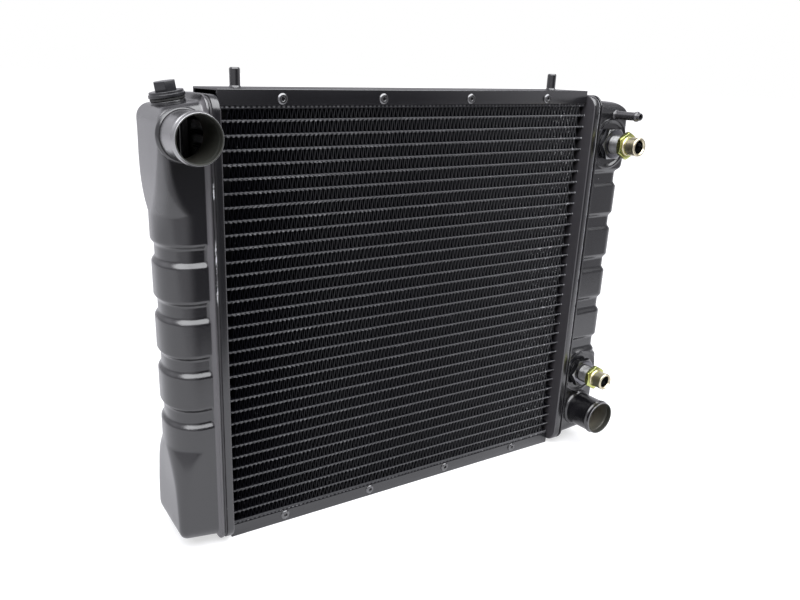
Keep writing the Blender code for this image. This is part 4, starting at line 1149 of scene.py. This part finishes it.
class RADIATOR_OT_pipes(bpy.types.Operator):
    """Hose pipes with collars, beads and rolled ends, and the vent spigot"""

    bl_idname = "radiator.pipes"
    bl_label = "Pipes"

    def execute(self, context):
        sides = context.scene.radiator_sizes.sides
        outer, inner = 20.5, 18.9
        swell = [(0.5 + 0.5 * math.cos(math.pi * (step - 6) / 6), 30.5 + step * 5 / 12) for step in range(13)]
        start = rounded([(outer, -4, 0), (outer, -0.1, 0), (23.0, -0.1, 0), (22.8, 1.2, 0.5),
                         (21.8, 2.8, 0.9), (21.0, 3.6, 0.3), (outer, 3.6, 0), (outer, 22, 0)], closed=False)
        bead = [Vector((outer + rise, height)) for rise, height in swell]
        tip = rounded([(20.4, 37.0, 0), (20.2, 39, 0.5), (inner, 39, 0.5), (inner, 36, 0)], closed=False)
        groove = [Vector((inner + rise * 0.8, height)) for rise, height in reversed(swell)]
        profile = start + bead + tip + groove + [Vector((inner, -4))]
        collar = FRONT - 3.7 * MM
        pipes = {"inlet_pipe": ("inlet_bore", INLET_PIPE), "outlet_pipe": ("inside", OUTLET_PIPE)}
        for node, (lining, at) in pipes.items():
            piece = turned(f"{node}_drawn", profile, on_front(*at), sides)
            painted(piece, finishes()[node])
            painted(piece, finishes()["paint"],
                    lambda face: all(vertex.co.y > collar for vertex in face.verts))
            painted(piece, finishes()[lining], within(*at, 19.95))
            done(piece, None, nodes=[node])
        profile = rounded([(2.75, -4, 0), (4.5, -4, 0), (4.5, -0.1, 0), (5.9, -0.1, 0), (5.7, 0.6, 0.5),
                           (5.0, 1.7, 0.8), (4.5, 3.4, 0.8), (4.5, 26.0, 0.4), (5.5, 28.2, 0.8),
                           (5.5, 29.6, 0.8), (4.4, 31.4, 0.4), (3.8, 34.0, 0.4), (2.75, 34.0, 0.3)])
        spigot = turned("vent_spigot_drawn", profile, on_front(*SPIGOT), 36)
        done(spigot, finishes()["spigot"], nodes=["vent_spigot"])
        return {"FINISHED"}


class RADIATOR_OT_unions(bpy.types.Operator):
    """Washers, lock nuts, stud threads and hose unions of the oil cooler"""

    bl_idname = "radiator.unions"
    bl_label = "Unions"

    def execute(self, context):
        made = finishes()
        pitch = context.scene.radiator_sizes.thread_pitch / MM
        repainted("oil_cooler", made["brass"])
        foot, turns = 7.9, int(13.5 / pitch)
        end = foot + turns * pitch
        for where, at in UNIONS.items():
            place = on_front(*at)
            washer = rounded([(10.65, -0.5, 0.2), (15.0, -0.5, 0.2), (15.0, 1.0, 0.4), (10.65, 1.0, 0.2)])
            flat = turned(f"{where}_washer_flat", washer, place)
            done(flat, made["steel"], nodes=[f"{where}_washer"])
            nut = hexagon(f"{where}_lock_nut_hex", across=32.5, low=1.3, high=7.8, chamfer=(False, True),
                          bore=21.2, matrix=place, turn=math.radians(30), edge=0.55)
            painted(nut, made["nut"])
            # wear and painted highlight: paler steel on the bevels along the nut's edges
            painted(nut, made["nut_edge"], self.wear_and_highlight)
            done(nut, None, nodes=[f"{where}_lock_nut"])
            crest = []
            for index in range(turns):
                crest += [(10.45, foot + index * pitch, 0), (10.95, foot + (index + 0.5) * pitch, 0.15)]
            thread = rounded([(10.2, foot, 0), *crest, (10.45, end, 0), (10.2, end, 0)], steps=2)
            done(turned(f"{where}_stud_thread", thread, place), made["thread"])
            self.union(where, at, made)
        return {"FINISHED"}

    def wear_and_highlight(self, face):
        """A test for the narrow faces along a nut's edges, painted paler as wear and highlight."""
        return 0.3 < abs(face.normal.y) < 0.9 and face.calc_area() < 14e-6

    def union(self, where, at, made):
        """The hexagon and the turned nose of one union."""
        hexed = hexagon(f"{where}_union_hex", across=26.5, low=21.6, high=27.1, chamfer=(True, True),
                        bore=9.6, matrix=on_front(*at))
        nose = rounded([(4.75, 21.9, 0), (6.0, 21.9, 0), (10.6, 26.0, 0), (10.6, 27.6, 0.4), (9.9, 28.6, 0.6),
                        (9.9, 38.2, 0.4), (10.2, 38.8, 0.3), (10.2, 41.6, 0.9), (9.2, 42.6, 0.5),
                        (7.9, 42.6, 0.4), (6.9, 40.8, 0.5), (6.7, 30.0, 0.3), (4.75, 28.4, 0.2)])
        spun = turned(f"{where}_union_nose", nose, on_front(*at))
        painted(hexed, made["zinc"])
        # painted shade: darker steel lines the bore of the nose
        painted(painted(spun, made["silver"]), made["rivet"], within(*at, 7.2))
        done(joined(f"{where}_union_turned", hexed, spun), None, nodes=[f"{where}_union"])


class RADIATOR_OT_filler(bpy.types.Operator):
    """Filler neck, its seal and the screw-in plug"""

    bl_idname = "radiator.filler"
    bl_label = "Filler"

    def execute(self, context):
        made = finishes()
        axis = Matrix.Translation(FILLER) @ Matrix.Rotation(FILLER_TILT, 4, "Y")
        neck = rounded([(8.75, -9, 0), (11.0, -9, 0), (11.0, 0.1, 0), (14.9, 0.1, 0.2), (14.5, 2.3, 0.5),
                        (8.75, 2.3, 0.4)])
        done(turned("filler_neck_ring", neck, axis), made["paint"], nodes=["filler_neck"])
        seal = rounded([(7.6, 2.6, 0.2), (14.75, 2.6, 0.7), (14.75, 4.8, 0.7), (7.6, 4.8, 0.2)])
        done(turned("plug_seal_ring", seal, axis), made["rubber"], "seal", ["plug_seal"])
        body = rounded([(0, -6.4, 0), (6.4, -6.4, 0.5), (7.1, -5.6, 0.3), (7.1, 5.1, 0), (15.5, 5.1, 0.4),
                        (15.5, 7.6, 0.5), (14.6, 8.0, 0.3), (14.6, 9.9, 0.6), (0, 9.9, 0)], closed=False)
        stem = turned("plug_body", body, axis, 56, closed=False)
        head = hexagon("plug_head", across=17.6, low=9.0, high=17.7, chamfer=(False, False), bore=0,
                       matrix=axis, turn=math.radians(-18))
        plug = joined("filler_plug_moulded", stem, head, self.thread(axis))
        done(plug, made["plastic"], "plug", ["filler_plug"])
        return {"FINISHED"}

    def thread(self, axis):
        """A rounded ridge wound two turns up the stem."""
        piece = settle(added("plug_thread", "circle", vertices=8, radius=0.9 * MM, fill_type="NGON",
                             rotation=(math.pi / 2, 0, 0), location=(7.1 * MM, 0, -4.9 * MM)))
        pitch, steps = 3 * MM, 28
        turn = Matrix.Rotation(math.tau / steps, 4, "Z")
        with Edit(piece) as edit:
            edit.whole()
            for step in range(2 * steps):
                edit.extrude(0, 0, pitch / steps)
                mesh = bmesh.from_edit_mesh(piece.data)
                for vertex in mesh.verts:
                    if vertex.select:
                        vertex.co = turn @ vertex.co
            bmesh.update_edit_mesh(piece.data)
            edit.outward()
        return settle(piece, axis)


class RADIATOR_OT_solder(bpy.types.Operator):
    """Solder beads where the tubes enter the header plates"""

    bl_idname = "radiator.solder"
    bl_label = "Solder"

    def execute(self, context):
        for name, side in (("inlet", -1), ("outlet", 1)):
            beads = []
            for index in range(TUBES):
                for front in (-1, 1):
                    size = 1 + 0.45 * noise.noise((index * 2.3, side, front))
                    place = (side * (PLATE_X + 0.2 * MM), front * (TUBE_HALF_DEPTH - 0.8 * MM),
                             FIRST_TUBE + TUBE_PITCH * index)
                    bead = settle(added("bead", "ico_sphere", subdivisions=2, radius=1.35 * MM * size,
                                        location=place, scale=(0.75, 0.9, 0.95)))
                    with Edit(bead) as edit:
                        edit.place(lambda place: place + Vector((0, 0, 0.3 * MM)) * noise.noise(place * 700))
                    beads.append(bead)
            done(joined(f"{name}_tube_solder", *beads), finishes()["solder"], angle=60)
        return {"FINISHED"}


class RADIATOR_OT_stage(bpy.types.Operator):
    """Pale floor, soft light and the camera"""

    bl_idname = "radiator.stage"
    bl_label = "Stage"

    def execute(self, context):
        studio = context.scene.radiator_studio
        floor = settle(added("floor", "plane", size=30, location=(0, 15 - studio.front_edge, 0)))
        floor.data.materials.append(self.floor_paint(studio))
        self.surround(context.scene, studio)
        lamp = bpy.data.lights.new("overhead", "AREA")
        lamp.shape, lamp.size, lamp.size_y, lamp.energy = "RECTANGLE", 3.8, 1.9, studio.lamp
        lamp.color = (0.97, 0.98, 1.0)
        overhead = bpy.data.objects.new("overhead", lamp)
        place = Vector((-0.10, -0.65, 1.75))
        overhead.matrix_world = Matrix.Translation(place) @ (place - Vector((0, 0, 0.25))).to_track_quat(
            "Z", "Y").to_matrix().to_4x4()
        context.scene.collection.objects.link(overhead)
        self.camera(context.scene)
        context.scene.view_settings.view_transform = "Standard"
        return {"FINISHED"}

    def floor_paint(self, studio):
        f = Finish("pale_floor")
        mottle = f.noise(3, 3)
        base = f.mix(mottle, tint(studio.floor, 0.98), studio.floor)
        material = f.set(Base_Color=base, Roughness=0.9, Specular_IOR_Level=0.0)
        x, y, _ = f.axes()
        far = ((x * x + y * y) ** 0.5).step(0.6, 2.5)
        straight, gloss = self.seen(f)
        light = straight * (far * (1 - studio.white) + studio.white)
        light += gloss * (far * (studio.backdrop - studio.glow) + studio.glow)
        glow = f.node("ShaderNodeEmission", None, {"Color": f.mix(straight, COOL, WHITE), "Strength": light})
        whole = f.node("ShaderNodeAddShader", None, {0: Shade(f, f.shader.outputs[0]), 1: glow})
        target = next(node for node in f.tree.nodes if node.type == "OUTPUT_MATERIAL")
        f.tree.links.new(whole.socket, target.inputs["Surface"])
        return material

    def seen(self, f):
        """1 where the camera looks straight at a place, and 1 where it sees it in gloss or through glass."""
        straight, gloss, through = (f.node("ShaderNodeLightPath", output=f"Is {kind} Ray")
                                    for kind in ("Camera", "Glossy", "Transmission"))
        return straight, gloss.most(through)

    def surround(self, scene, studio):
        """White to the camera, otherwise a dim room with pale walls, open in front, and a paler ceiling."""
        world = bpy.data.worlds.new("studio")
        scene.world = world
        world.use_nodes = True
        f = Finish(tree=world.node_tree)
        x, y, z = f.axes(f.node("ShaderNodeTexCoord", output="Generated"))
        straight, gloss = self.seen(f)
        gap = x.step(-0.5, 0.2) * (1 - x.step(0.5, 0.95)) * (1 - y.step(-0.5, 0.0))
        wall = (1 - gap) * (1 - (z - y.step(0.0, 0.5) * 0.35).step(0.15, 0.5)) * gloss * studio.backdrop
        left = (1 - x.step(-0.5, 0.05)) * z.step(0.2, 0.6) * gloss * studio.backdrop
        glow = studio.surround + z.step(0.25, 1.0) * studio.ceiling + wall + left
        back = next(node for node in f.tree.nodes if node.type == "BACKGROUND")
        f.feed(back.inputs["Color"], f.mix(straight, COOL, WHITE))
        f.feed(back.inputs["Strength"], glow * (1 - straight) + straight)

    def camera(self, scene):
        """A lens close to the inlet tank, turned by angles in degrees."""
        eye = bpy.data.cameras.new("camera")
        eye.sensor_width, eye.lens = 36.0, 34.4647
        eye.shift_x, eye.shift_y = 0.05792, 0.04611
        eye.clip_start, eye.clip_end = 0.01, 100.0
        camera = bpy.data.objects.new("camera", eye)
        place = Vector((-465.832, -655.551, 455.598)) * MM
        tilt, roll, heading = (math.radians(angle) for angle in (70.3976, -1.3977, -31.2045))
        turn = Euler((tilt, roll, heading)).to_matrix().to_4x4()
        camera.matrix_world = Matrix.Translation(place) @ turn
        scene.collection.objects.link(camera)
        scene.camera = camera


OPERATORS = (RADIATOR_OT_core, RADIATOR_OT_headers, RADIATOR_OT_tanks, RADIATOR_OT_channels,
             RADIATOR_OT_rivets, RADIATOR_OT_pegs, RADIATOR_OT_pipes, RADIATOR_OT_unions, RADIATOR_OT_filler,
             RADIATOR_OT_solder, RADIATOR_OT_stage)

GROUPS = {"radiator_sizes": RadiatorSizes, "radiator_finish": RadiatorFinish,
          "radiator_studio": RadiatorStudio}


class RADIATOR_PT_panel(bpy.types.Panel):
    """The radiator's pieces, in the order they are made"""

    bl_label = "Car Radiator"
    bl_idname = "RADIATOR_PT_panel"
    bl_space_type = "VIEW_3D"
    bl_region_type = "UI"
    bl_category = "Radiator"

    def draw(self, context):
        for name in GROUPS:
            group = getattr(context.scene, name)
            box = self.layout.box()
            for key in group.__annotations__:
                box.prop(group, key)
        for operator in OPERATORS:
            self.layout.operator(operator.bl_idname)


def register():
    for group in (*GROUPS.values(), *OPERATORS, RADIATOR_PT_panel):
        bpy.utils.register_class(group)
    for name, group in GROUPS.items():
        setattr(bpy.types.Scene, name, PointerProperty(type=group))


def unregister():
    for name in GROUPS:
        delattr(bpy.types.Scene, name)
    for group in reversed((*GROUPS.values(), *OPERATORS, RADIATOR_PT_panel)):
        bpy.utils.unregister_class(group)


def main():
    register()
    for operator in OPERATORS:
        group, name = operator.bl_idname.split(".")
        getattr(getattr(bpy.ops, group), name)()


if __name__ == "__main__":
    main()
